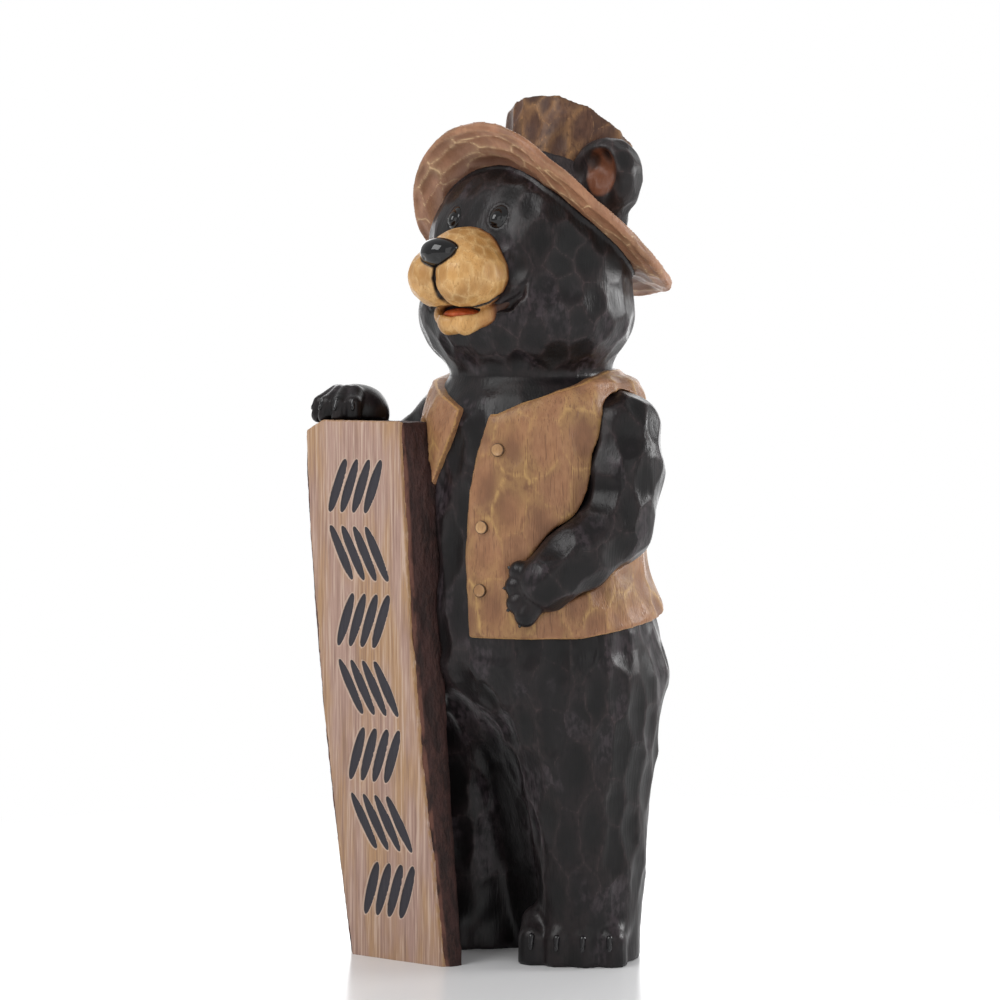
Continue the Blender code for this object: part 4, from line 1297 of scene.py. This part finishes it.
@dataclass
class Vest:
    """The open vest, raised off the torso, with its three buttons."""

    torso: Column
    thickness: float = 0.0080
    lining: float = 0.010
    flare: float = 0.006
    middle: float = 10.0
    # The flare starts this many degrees from the middle, is full after as many more, and falls with height
    flare_start: float = 50.0
    flare_turn: float = 40.0
    flare_top: float = 0.392
    flare_fall: float = 0.050
    # The torso's radius by which degrees along the edges count as lengths
    mean_radius: float = 0.122
    neckline: Table = ((9, 0.557), (21, 0.568), (40, 0.580), (63, 0.591), (90, 0.600), (180, 0.602))
    hem: Table = ((0, 0.334), (50, 0.334), (62, 0.338), (88, 0.346), (118, 0.354), (180, 0.357))
    left_edge: Table = ((0.334, 7.5), (0.367, 7.0), (0.414, 5.0), (0.448, 6.5),
                        (0.481, 7.5), (0.518, 10.5), (0.557, 15.5))
    right_edge: Table = ((0.334, -24), (0.400, -28), (0.470, -24), (0.496, -17.5),
                         (0.521, -10.5), (0.545, -5.0), (0.557, -4.0))
    buttons: Table = ((0.521, 22.1), (0.445, 15.3), (0.381, 14.2))
    button_radius: float = 0.00675
    button_rise: float = 0.003
    button_sides: int = 40
    # How far it stays clear of both arms, and the rounding of those cuts
    arm_gap: float = 1.2 * MM
    arm_edge: float = 2.5 * MM
    cuts: ChiselWork = ChiselWork(0.033, 0.055, 2.5 * MM, seed=31)

    def region(self, x: Array, y: Array, z: Array) -> Array:
        """Distances along the surface to the vest's edges, below zero on the vest."""
        angle = np.degrees(self.torso.angle(x, y, z))
        turn = np.abs(angle - self.middle)
        turn = np.minimum(turn, 360.0 - turn)
        past_right, past_left = angle - read_table(self.right_edge, z), read_table(self.left_edge, z) - angle
        opening = np.radians(np.minimum(past_right, past_left)) * self.mean_radius
        ends = np.maximum(read_table(self.hem, turn) - z, z - read_table(self.neckline, turn))
        return np.maximum(ends, opening)

    def field(self, x: Array, y: Array, z: Array) -> Array:
        """Distances to the vest."""
        off = self.torso.distance(x, y, z)
        around = np.abs(np.degrees(self.torso.angle(x, y, z)) - self.middle)
        flare = unit((around - self.flare_start) / self.flare_turn)
        flare = flare * np.clip((self.flare_top - z) / self.flare_fall, 0.0, 1.2) ** 1.5
        sheet = np.maximum(off - self.thickness - self.flare * flare, -self.lining - off)
        return common(sheet, self.region(x, y, z), 3.0 * MM)

    def build(self, sign: SignSlab, arms: Arms) -> None:
        """Makes and dresses the vest and its buttons."""

        def form(x: Array, y: Array, z: Array) -> Array:
            vest = sign.clear(self.field(x, y, z), x, y, z)
            vest = cut(vest, arms.left_field(x, y, z) - self.arm_gap, self.arm_edge)
            return cut(vest, arms.right_field(x, y, z) - self.arm_gap, self.arm_edge)

        vest = field_mesh("vest", form, Region.VEST)
        x, y, z = mesh_points(vest).T
        drop_hidden(vest, self.torso.distance(x, y, z) < -3.0 * MM)
        points = mesh_points(vest)
        x, y, z = points.T
        edge = -self.region(x, y, z)
        keep = np.clip(edge / (8 * MM), 0.15, 1.0)
        self.cuts.carve(vest, keep=keep)
        off = self.torso.distance(x, y, z)
        paint_mask(vest, "rim", np.maximum(edge, 0.0) + 4 * MM * (off < self.thickness - 3 * MM))
        dress(vest, VEST_STAIN.build(), "bear")
        self._build_buttons()

    def _button_frames(self) -> list[tuple[Vector, Vector]]:
        """The middle and normal of each button's face."""
        lift = self.thickness + self.button_rise - 1 * MM
        return [self.torso.surface(math.radians(degrees), z, lift) for z, degrees in self.buttons]

    def _build_buttons(self) -> None:
        """Makes the buttons as small turned discs with a raised rim."""
        for number, (middle, normal) in enumerate(self._button_frames(), start=1):
            radius = self.button_radius
            profile = [(0.0, 1.2 * MM), (radius * 0.55, 1.1 * MM), (radius * 0.72, 1.5 * MM),
                       (radius * 0.86, 1.8 * MM), (radius * 0.97, 1.4 * MM), (radius, 0.6 * MM),
                       (radius, -3.5 * MM), (0.0, -3.5 * MM)]
            turned = turned_mesh(f"button_{number}", profile, self.button_sides)
            facing = normal.to_track_quat("Z", "Y").to_matrix().to_4x4()
            turned.data.transform(Matrix.Translation(middle) @ facing)
            gap = np.linalg.norm(mesh_points(turned) - np.array(middle), axis=1)
            paint_mask(turned, "rim", np.abs(gap - radius))
            paint_mask(turned, "ridge", np.full(len(gap), 1.0))
            paint_mask(turned, "tone", np.full(len(gap), 0.3))
            dress(turned, BUTTON_STAIN.build(), "bear")


def turned_mesh(name: str, profile: Sequence[tuple[float, float]], sides: int) -> bpy.types.Object:
    """A turned piece about Z.

    Args:
        name: The piece's name.
        profile: Radius and height pairs from the top's middle down to the bottom's middle.
        sides: Faces round it.

    Returns:
        The linked object.
    """
    points, faces = [], []
    for radius, height in profile[1:-1]:
        for i in range(sides):
            angle = math.tau * i / sides
            points.append((radius * math.cos(angle), radius * math.sin(angle), height))
    rings = len(profile) - 2
    for ring in range(rings - 1):
        for i in range(sides):
            j = (i + 1) % sides
            a, b = ring * sides, (ring + 1) * sides
            faces.append((a + i, b + i, b + j, a + j))
    points += [(0.0, 0.0, profile[0][1]), (0.0, 0.0, profile[-1][1])]
    top, bottom, last = len(points) - 2, len(points) - 1, (rings - 1) * sides
    for i in range(sides):
        j = (i + 1) % sides
        faces.append((top, i, j))
        faces.append((bottom, last + j, last + i))
    mesh = bpy.data.meshes.new(name)
    mesh.from_pydata(points, [], faces)
    mesh.shade_smooth()
    return add_object(name, mesh)


@dataclass
class Hat:
    """The hat: a brim turned up at the front, a crown that leans back, and its band."""

    centre: Point = (0.0, 0.013, 0.736)
    tilt: float = math.radians(35)
    radius: float = 0.141
    front_reach: float = 0.007
    thickness: float = 0.010
    left_wave: Table = ((0, 0.031), (10, 0.028), (20, 0.021), (35, 0.005), (50, -0.007), (60, -0.014),
                        (75, -0.0175), (90, -0.0185), (100, -0.0165), (112, -0.012), (126, -0.001),
                        (150, 0.022), (180, 0.032))
    right_wave: Table = ((0, 0.031), (20, 0.027), (40, 0.012), (58, 0.0), (75, -0.010), (95, -0.013),
                         (112, -0.006), (126, 0.001), (150, 0.022), (180, 0.032))
    wave_start: float = 0.045
    wave_full: float = 0.105
    # The share of the wave that is left for the outermost ring, and that ring's width
    outer_share: float = 0.2
    outer_width: float = 0.036
    crown_tilt: float = math.radians(28)
    crown_foot: Point = (0.0, 0.012, 0.740)
    crown_profile: Table = ((-0.030, 0.068), (0.0, 0.068), (0.040, 0.063), (0.072, 0.0625),
                            (0.090, 0.066), (0.105, 0.071), (0.121, 0.0745))
    crown_height: float = 0.121
    crown_slant: float = 0.25
    band_height: float = 0.063
    band_rise: float = 0.0025
    brim_cuts: ChiselWork = ChiselWork(0.015, 0.085, 1.9 * MM, seed=41, apart=12 * MM)
    crown_cuts: ChiselWork = ChiselWork(0.021, 0.044, 1.9 * MM, seed=42)
    band_cuts: ChiselWork = ChiselWork(0.024, 0.030, 0.8 * MM, seed=43)

    def brim_local(self, x: Array, y: Array, z: Array) -> tuple[Array, Array, Array]:
        """Left, back and normal coordinates in the brim's own frame."""
        dy, dz = y - self.centre[1], z - self.centre[2]
        c, s = math.cos(self.tilt), math.sin(self.tilt)
        return x - self.centre[0], c * dy - s * dz, s * dy + c * dz

    def brim_gap(self, x: Array, y: Array, z: Array) -> tuple[Array, Array, Array]:
        """Height over the brim's middle sheet, radius and backward share in the brim's frame."""
        left, back, off = self.brim_local(x, y, z)
        radius = np.sqrt(left ** 2 + back ** 2 + 1e-9)
        from_front = np.degrees(np.arccos(np.clip(-back / radius, -1.0, 1.0)))
        t = unit((radius - self.wave_start) / (self.wave_full - self.wave_start))
        outer = np.clip((radius - self.wave_full) / self.outer_width, 0.0, 1.2)
        reach = (1.0 - self.outer_share) * t * t * (3 - 2 * t) + self.outer_share * outer
        bend = np.where(left > 0.0, read_table(self.left_wave, from_front),
                        read_table(self.right_wave, from_front))
        return off - bend * reach, radius, back / radius

    def below_brim(self, x: Array, y: Array, z: Array) -> Array:
        """Height over the brim's underside, below zero under it."""
        return self.brim_gap(x, y, z)[0] + self.thickness / 2 + 1.0 * MM

    def brim_field(self, x: Array, y: Array, z: Array) -> Array:
        """Distances to the brim."""
        gap, radius, backward = self.brim_gap(x, y, z)
        sheet = (np.abs(gap) - self.thickness / 2) * 0.85
        rim = radius - (self.radius + self.front_reach * np.maximum(-backward, 0.0))
        return common(sheet, rim, 4.0 * MM)

    def crown_local(self, x: Array, y: Array, z: Array) -> tuple[Array, Array]:
        """Radius and height in the crown's own frame, with its slanted top straightened."""
        dy, dz = y - self.crown_foot[1], z - self.crown_foot[2]
        c, s = math.cos(self.crown_tilt), math.sin(self.crown_tilt)
        back, up = c * dy - s * dz, s * dy + c * dz
        radius = np.sqrt((x - self.crown_foot[0]) ** 2 + back ** 2 + 1e-9)
        slant = 1.0 - self.crown_slant * (0.5 + 0.5 * np.clip(back / 0.070, -1.0, 1.0))
        return radius, up / slant

    def crown_field(self, x: Array, y: Array, z: Array) -> Array:
        """Distances to the crown."""
        radius, up = self.crown_local(x, y, z)
        side = radius - read_table(self.crown_profile, up)
        dish = 3.0 * MM * unit(1.0 - (radius / 0.058) ** 2)
        return common(side, np.maximum(up - self.crown_height + dish, -0.025 - up), 2.5 * MM)

    def band_field(self, x: Array, y: Array, z: Array) -> Array:
        """Distances to the band."""
        radius, up = self.crown_local(x, y, z)
        side = radius - self.band_rise - read_table(self.crown_profile, up)
        return common(side, np.maximum(up - self.band_height, -0.022 - up), 2.5 * MM)

    def build(self) -> None:
        """Makes and dresses the brim, crown and band."""
        brim = field_mesh("hat_brim", self.brim_field, Region.HAT)
        points = mesh_points(brim)
        left, back, _ = self.brim_local(*points.T)
        gap, radius, _ = self.brim_gap(*points.T)
        round_way = np.stack([-back, left * math.cos(self.tilt), -left * math.sin(self.tilt)], axis=1)
        round_way /= np.maximum(np.linalg.norm(round_way, axis=1), 1e-6)[:, None]
        keep = np.clip((self.radius + 0.006 - radius) / 0.010, 0.45, 1.0)
        self.brim_cuts.carve(brim, round_way, keep)
        paint_mask(brim, "rim", np.maximum(self.radius + 0.003 - radius, 0.0) + 1 * MM)
        # Painted shade: the brim's underside darkens towards the head
        paint_mask(brim, "accent_and_shade", np.clip((0.124 - radius) / 0.022, 0.0, 0.85) * (gap < 0.0))
        dress(brim, BRIM_STAIN.build(), "bear")
        crown = field_mesh("hat_crown", self.crown_field, Region.HAT)
        axis = np.array((0.0, math.sin(self.crown_tilt), math.cos(self.crown_tilt)), dtype=np.float32)
        ways = np.tile(axis, (len(crown.data.vertices), 1))
        ways[np.abs(mesh_normals(crown) @ axis) > 0.7] = (1.0, 0.0, 0.0)
        self.crown_cuts.carve(crown, ways)
        dress(crown, CROWN_STAIN.build(), "bear")
        band = field_mesh("hat_band", self.band_field, Region.HAT)
        self.band_cuts.carve(band)
        dress(band, BAND_PAINT.build(), "bear")


@dataclass
class Head:
    """The head with its muzzle, mouth, nose, eyes and ears."""

    hat: Hat
    skull: Ball = Ball((0, -0.008, 0.715), (0.113, 0.094, 0.105))
    jowls: Ball = Ball((0, -0.014, 0.658), (0.117, 0.099, 0.075))
    eye_place: Point = (0.029, -0.0895, 0.754)
    eye_radii: Point = (0.0100, 0.0056, 0.0122)
    eye_slope: tuple[float, float] = (0.239, 0.373)
    socket_forward: float = 0.004
    lens_shift: Point = (0.0, -0.0035, -0.0005)
    lens_radii: Point = (0.0064, 0.0060, 0.0080)
    nose: Ball = Ball((0, -0.149, 0.7175), (0.0205, 0.0145, 0.0145))
    nose_top: Ball = Ball((0, -0.1455, 0.7225), (0.0215, 0.0125, 0.0090))
    nostril_place: Point = (0.0095, -0.1630, 0.7115)
    nostril_radii: Point = (0.0036, 0.0036, 0.0026)
    bridge: Ball = Ball((0, -0.104, 0.716), (0.036, 0.042, 0.028))
    jaw: Limb = Limb(((-0.046, -0.090, 0.672), (-0.029, -0.108, 0.656), (-0.011, -0.120, 0.6480),
                      (0.011, -0.120, 0.6480), (0.029, -0.108, 0.656), (0.046, -0.090, 0.672)),
                     (0.0060, 0.0090, 0.0105, 0.0105, 0.0090, 0.0060), 6 * MM)
    puff_place: Point = (0.017, -0.118, 0.6945)
    puff_radii: Point = (0.035, 0.042, 0.0330)
    mouth: Ball = Ball((0, -0.121, 0.6605), (0.028, 0.022, 0.0062))
    tongue: Ball = Ball((0, -0.110, 0.6565), (0.024, 0.0165, 0.0068))
    ear_place: Point = (0.0805, 0.023, 0.795)
    ear_radii: Point = (0.038, 0.022, 0.040)
    # The roll round the ear's edge: its ring's radius, how far it lies forward, and how thick it is
    roll_ring: float = 0.0275
    roll_forward: float = 0.011
    roll_radius: float = 0.0105
    dish: Ball = Ball((0.0860, -0.002, 0.800), (0.0195, 0.0140, 0.0240))
    smile_line: tuple[Point, ...] = ((0.038, -0.106, 0.662), (0.050, -0.102, 0.666),
                                     (0.061, -0.094, 0.676), (0.0635, -0.090, 0.687))
    smile_radii: tuple[float, ...] = (0.0030, 0.0050, 0.0036, 0.0015)
    # The mouth's line from its middle to the left corner
    lip_line: tuple[Point, ...] = ((0.010, -0.1330, 0.6620), (0.024, -0.1290, 0.6625),
                                   (0.037, -0.1170, 0.6690), (0.047, -0.1030, 0.6770))
    lip_radii: tuple[float, ...] = (0.0024, 0.0024, 0.0022, 0.0016)
    head_cuts: ChiselWork = ChiselWork(0.027, 0.036, 1.9 * MM, seed=51)
    muzzle_cuts: ChiselWork = ChiselWork(0.013, 0.019, 0.7 * MM, seed=52)
    ear_cuts: ChiselWork = ChiselWork(0.017, 0.026, 1.7 * MM, seed=53)

    def dark_field(self, x: Array, y: Array, z: Array) -> Array:
        """Distances to the head's plain form under the hat."""
        head = join(self.skull.distance(x, y, z), self.jowls.distance(x, y, z), 14 * MM)
        return np.maximum(head, self.hat.brim_gap(x, y, z)[0])

    def head_field(self, x: Array, y: Array, z: Array, torso: "Torso") -> Array:
        """Distances to the head with its neck, eye sockets, cheek creases and the roll under the hat."""
        skull = self.dark_field(x, y, z)
        below = self.hat.below_brim(x, y, z)
        roll = np.sqrt(skull ** 2 + below ** 2) - 2.6 * MM
        head = join(skull, roll, 2.0 * MM)
        for side in SIDES:
            eye_x, eye_y, eye_z = mirrored(self.eye_place, side)
            socket_radii = tuple(radius + 0.2 * MM for radius in self.eye_radii)
            socket = Ball((eye_x, eye_y - self.socket_forward, eye_z), socket_radii)
            socket = socket.distance(x, self.eye_depth(side, x, y, z), z)
            lid = np.sqrt(skull ** 2 + socket ** 2) - 1.1 * MM
            head = cut(join(head, lid, 2.0 * MM), socket, 1.0 * MM)
            line = tuple(mirrored(point, side) for point in self.smile_line)
            smile = Limb(line, self.smile_radii, 3 * MM)
            head = cut(head, smile.distance(x, y, z), 2.5 * MM)
        head = join(head, torso.torso.distance(x, y, z), NECK_ROUNDING)
        return np.maximum(head, NECK_SEAM - 8 * MM - z)

    def muzzle_field(self, x: Array, y: Array, z: Array) -> Array:
        """Distances to the muzzle with its mouth."""
        puffs = [Ball(mirrored(self.puff_place, side), self.puff_radii) for side in SIDES]
        muzzle = join(puffs[0].distance(x, y, z), puffs[1].distance(x, y, z), 1.5 * MM)
        muzzle = join(muzzle, self.bridge.distance(x, y, z), 10 * MM)
        muzzle = cut(muzzle, self.seam().distance(x, y, z), 1.5 * MM)
        muzzle = join(muzzle, self.jaw.distance(x, y, z), 1.0 * MM)
        muzzle = cut(muzzle, self.mouth.distance(x, y, z), 1.2 * MM)
        return cut(muzzle, self.lip().distance(x, y, z), 1.0 * MM)

    @staticmethod
    def seam() -> Limb:
        """The cut line from the nose down between the muzzle's halves."""
        return Limb(((0, -0.1525, 0.708), (0, -0.1545, 0.692), (0, -0.1480, 0.674), (0, -0.132, 0.664)),
                    (0.0016, 0.0020, 0.0024, 0.0030), 2 * MM)

    def lip(self) -> Limb:
        """The line of the mouth, from one corner under the muzzle to the other."""
        line = tuple(mirrored(point, -1.0) for point in reversed(self.lip_line)) + self.lip_line
        return Limb(line, tuple(reversed(self.lip_radii)) + self.lip_radii, 2 * MM)

    def nose_field(self, x: Array, y: Array, z: Array) -> Array:
        """Distances to the nose with its nostrils."""
        nose = self.nose.distance(x, y, z)
        nose = join(nose, self.nose_top.distance(x, y, z), 4 * MM)
        for side in SIDES:
            nostril = Ball(mirrored(self.nostril_place, side), self.nostril_radii)
            nose = cut(nose, nostril.distance(x, y, z), 1.5 * MM)
        return nose

    def eye_depth(self, side: float, x: Array, y: Array, z: Array) -> Array:
        """The Y value at the eye's middle of a plane that lies along the skull."""
        return (y - self.eye_slope[0] * (side * x - self.eye_place[0])
                - self.eye_slope[1] * (z - self.eye_place[2]))

    def eye_field(self, x: Array, y: Array, z: Array) -> Array:
        """Distances to both eyes."""
        eyes = None
        for side in SIDES:
            deep = self.eye_depth(side, x, y, z)
            eye_x, eye_y, eye_z = mirrored(self.eye_place, side)
            eye = Ball((eye_x, eye_y, eye_z), self.eye_radii)
            lens_place = (eye_x, eye_y + self.lens_shift[1], eye_z + self.lens_shift[2])
            lens = Ball(lens_place, self.lens_radii)
            both = join(eye.distance(x, deep, z), lens.distance(x, deep, z), 1.0 * MM)
            eyes = both if eyes is None else np.minimum(eyes, both)
        return eyes

    def ear_field(self, x: Array, y: Array, z: Array) -> Array:
        """Distances to both ears, each a dished disc on a short root."""
        ears = None
        for side in SIDES:
            cx, cy, cz = mirrored(self.ear_place, side)
            ear = Ball((cx, cy, cz), self.ear_radii).distance(x, y, z)
            ring = np.sqrt((x - cx) ** 2 + (z - cz) ** 2) - self.roll_ring
            roll = np.sqrt(ring ** 2 + ((y - cy + self.roll_forward) * 0.9) ** 2) - self.roll_radius
            ear = join(ear, roll, 6 * MM)
            dish = Ball(mirrored(self.dish.centre, side), self.dish.radii)
            ear = cut(ear, dish.distance(x, y, z), 3 * MM)
            root = Limb(((cx - side * 0.003, cy, cz - 0.014), (side * 0.076, 0.020, 0.738)), (0.024, 0.020))
            ear = join(ear, root.distance(x, y, z), 6 * MM)
            ears = ear if ears is None else np.minimum(ears, ear)
        return ears

    def build(self, torso: "Torso") -> None:
        """Makes and dresses the head's pieces."""
        head = field_mesh("bear_head", lambda x, y, z: self.head_field(x, y, z, torso), Region.HEAD)
        points = mesh_points(head)
        eyes = [np.array(mirrored(self.eye_place, side)) for side in SIDES]
        near_eye = np.min([np.linalg.norm(points - eye, axis=1) for eye in eyes], axis=0)
        x, y, z = points.T
        below = self.hat.below_brim(x, y, z)
        keep = unit((near_eye - 0.016) / 0.020) * unit((z - NECK_SEAM) / (20 * MM))
        keep *= unit((-below - 4 * MM) / (8 * MM))
        self.head_cuts.carve(head, keep=keep)
        drop_hidden(head, mesh_points(head)[:, 2] < NECK_SEAM + 1 * MM)
        dress(head, FUR.build(), "bear")
        muzzle = field_mesh("muzzle", self.muzzle_field, Region.MUZZLE)
        self.muzzle_cuts.carve(muzzle)
        x, y, z = mesh_points(muzzle).T
        fur_gap = self.dark_field(x, y, z)
        paint_mask(muzzle, "accent_and_shade", unit(1.0 - (fur_gap - 1 * MM) / (11 * MM)) ** 1.3)
        # Painted shade: near black within a few millimetres of the fur, in the crease where the muzzle meets
        # the head
        paint_mask(muzzle, "shade", np.clip(1.0 - (fur_gap + 0.5 * MM) / (5 * MM), 0.0, 0.85))
        # Painted shadow: near black along the seam down the muzzle, along the mouth's line and round the nose
        lines = np.minimum(self.seam().distance(x, y, z), self.lip().distance(x, y, z))
        lines = np.minimum(lines, self.nose.distance(x, y, z) - 1.0 * MM)
        paint_mask(muzzle, "groove_shadow", unit(1.0 - (lines - 0.2 * MM) / (1.2 * MM)))
        dress(muzzle, MUZZLE_PAINT.build(), "bear")
        dress(field_mesh("nose", self.nose_field, Region.NOSE), GLOSS_BLACK.build(), "bear")
        dress(field_mesh("eyes", self.eye_field, Region.EYES), GLOSS_BLACK.build(), "bear")
        tongue = field_mesh("tongue", self.tongue.distance, Region.MUZZLE)
        paint_mask(tongue, "ridge", np.full(len(tongue.data.vertices), 1.0))
        dress(tongue, TONGUE_PAINT.build(), "bear")
        ears = field_mesh("ears", self.ear_field, Region.EARS)
        self.ear_cuts.carve(ears)
        x, y, z = mesh_points(ears).T
        dish = Ball(self.dish.centre, tuple(radius + 0.5 * MM for radius in self.dish.radii))
        inside = dish.distance(np.abs(x), y, z)
        paint_mask(ears, "accent_and_shade", unit(-inside / (3.0 * MM) + 0.25))
        dress(ears, EAR_PAINT.build(), "bear")


def build_claws(arms: Arms, torso: Torso) -> None:
    """Makes and dresses all the claws as one piece.

    Args:
        arms: The arms, with the hands' claws.
        torso: The body, with the feet's claws.
    """
    claws = arms.claws() + torso.claws()

    def form(x: Array, y: Array, z: Array) -> Array:
        nearest = claws[0].distance(x, y, z)
        for claw in claws[1:]:
            nearest = np.minimum(nearest, claw.distance(x, y, z))
        return np.maximum(nearest, -z)

    dress(field_mesh("claws", form, Region.CLAWS), CLAW_BLACK.build(), "bear")


@dataclass
class Studio:
    """The plain studio: a pale sweep, soft lights and the camera."""

    turn: float = math.radians(40)
    distance: float = 3.30
    height: float = 0.65
    pitch: float = math.radians(3.1935)
    lens: float = 115.5
    shift: float = -0.035
    floor_reach: float = 30.0
    paper: str = "#f2f2f3"
    # How far from the bear the paper starts to fade, and where it is all white
    paper_fade: tuple[float, float] = (0.25, 1.10)
    # Angles from straight up at which the backdrop's rings lie
    dome_angles: tuple[float, ...] = (0.2, 0.5, 0.8, 1.1, 1.4, 1.6)
    aim_height: float = 0.45
    # Each light's name, degrees round and up, distance, side and watts
    lights: tuple[tuple[str, float, float, float, float, float], ...] = (
        ("key_panel", -12.0, 42.0, 2.6, 1.4, 27.0), ("fill_panel", 65.0, 18.0, 3.2, 2.0, 10.0),
        ("back_panel", 215.0, 14.0, 2.7, 3.0, 50.0), ("edge_panel", 138.0, 18.0, 2.6, 0.9, 34.0))

    def camera(self) -> None:
        """Sets the camera at the photograph's angle."""
        data = bpy.data.cameras.new("studio_camera")
        data.lens = self.lens
        data.shift_x = self.shift
        camera = add_object("studio_camera", data)
        camera.location = (self.distance * math.sin(self.turn), -self.distance * math.cos(self.turn),
                           self.height)
        camera.rotation_euler = (math.pi / 2 - self.pitch, 0.0, self.turn)
        bpy.context.scene.camera = camera

    def floor(self) -> None:
        """A pale paper floor that fades into the white ground, and the white backdrop round it."""
        size = self.floor_reach
        mesh = bpy.data.meshes.new("studio_floor")
        corners = [(-size, -size, 0), (size, -size, 0), (size, size, 0), (-size, size, 0)]
        mesh.from_pydata(corners, [], [(0, 1, 2, 3)])
        floor = add_object("studio_floor", mesh)
        material, tree, shader = new_material("studio_paper")
        shader.inputs["Base Color"].default_value = linear(self.paper)
        shader.inputs["Roughness"].default_value = 0.22
        shader.inputs["Specular IOR Level"].default_value = 0.5
        place = add_node(tree, "ShaderNodeTexCoord").outputs["Object"]
        reach = add_node(tree, "ShaderNodeVectorMath", {"operation": "LENGTH"}, {0: place}).outputs["Value"]
        both = add_node(tree, "ShaderNodeMixShader", None, {0: ramp(tree, reach, *self.paper_fade)})
        tree.links.new(shader.outputs[0], both.inputs[1])
        tree.links.new(self._white_glow(tree), both.inputs[2])
        tree.links.new(both.outputs[0], tree.nodes["Material Output"].inputs["Surface"])
        mesh.materials.append(material)
        rings = [(size * math.sin(angle), size * math.cos(angle)) for angle in self.dome_angles]
        dome = turned_mesh("studio_backdrop", [(0.0, size)] + rings + [(0.0, -1.0)], 48)
        backdrop, tree, _ = new_material("studio_white_sheet")
        tree.links.new(self._white_glow(tree), tree.nodes["Material Output"].inputs["Surface"])
        dome.data.materials.append(backdrop)
        dome.visible_diffuse = dome.visible_glossy = dome.visible_transmission = dome.visible_shadow = False

    @staticmethod
    def _white_glow(tree: bpy.types.NodeTree) -> bpy.types.NodeSocket:
        """A plain white glow."""
        return add_node(tree, "ShaderNodeEmission", None,
                        {"Color": (1.0, 1.0, 1.0, 1.0), "Strength": 1.0}).outputs[0]

    def light(self, name: str, turn: float, rise: float, away: float, size: float, power: float) -> None:
        """One soft panel light that faces the bear.

        Args:
            name: Its name.
            turn: Degrees round from the bear's front towards its left.
            rise: Degrees up.
            away: Distance in metres.
            size: The panel's side in metres.
            power: Watts.
        """
        data = bpy.data.lights.new(name, "AREA")
        data.shape = "SQUARE"
        data.size = size
        data.energy = power
        lamp = add_object(name, data)
        a, e = math.radians(turn), math.radians(rise)
        place = Vector((math.sin(a) * math.cos(e), -math.cos(a) * math.cos(e), math.sin(e))) * away
        lamp.location = place + Vector((0, 0, self.aim_height))
        lamp.visible_camera = False
        lamp.rotation_euler = (-place).to_track_quat("-Z", "Y").to_euler()

    def build(self) -> None:
        """Sets up camera, floor, lights and the white ground."""
        self.camera()
        self.floor()
        world = bpy.data.worlds.new("studio_white")
        world.use_nodes = True
        world.node_tree.nodes["Background"].inputs["Color"].default_value = (1.0, 1.0, 1.0, 1.0)
        world.node_tree.nodes["Background"].inputs["Strength"].default_value = 0.50
        bpy.context.scene.world = world
        bpy.context.scene.view_settings.view_transform = "Standard"
        for settings in self.lights:
            self.light(*settings)


def main() -> None:
    """Builds the studio and every piece in order."""
    logging.basicConfig(level=logging.INFO, format="%(name)s: %(message)s")
    Studio().build()
    sign = SignSlab()
    arms = Arms(sign.height)
    torso = Torso()
    vest = Vest(torso.torso)
    hat = Hat()
    sign.build()
    head = Head(hat)
    torso.build(sign, vest, head)
    vest.build(sign, arms)
    arms.build(sign)
    build_claws(arms, torso)
    hat.build()
    head.build(torso)


if __name__ == "__main__":
    main()
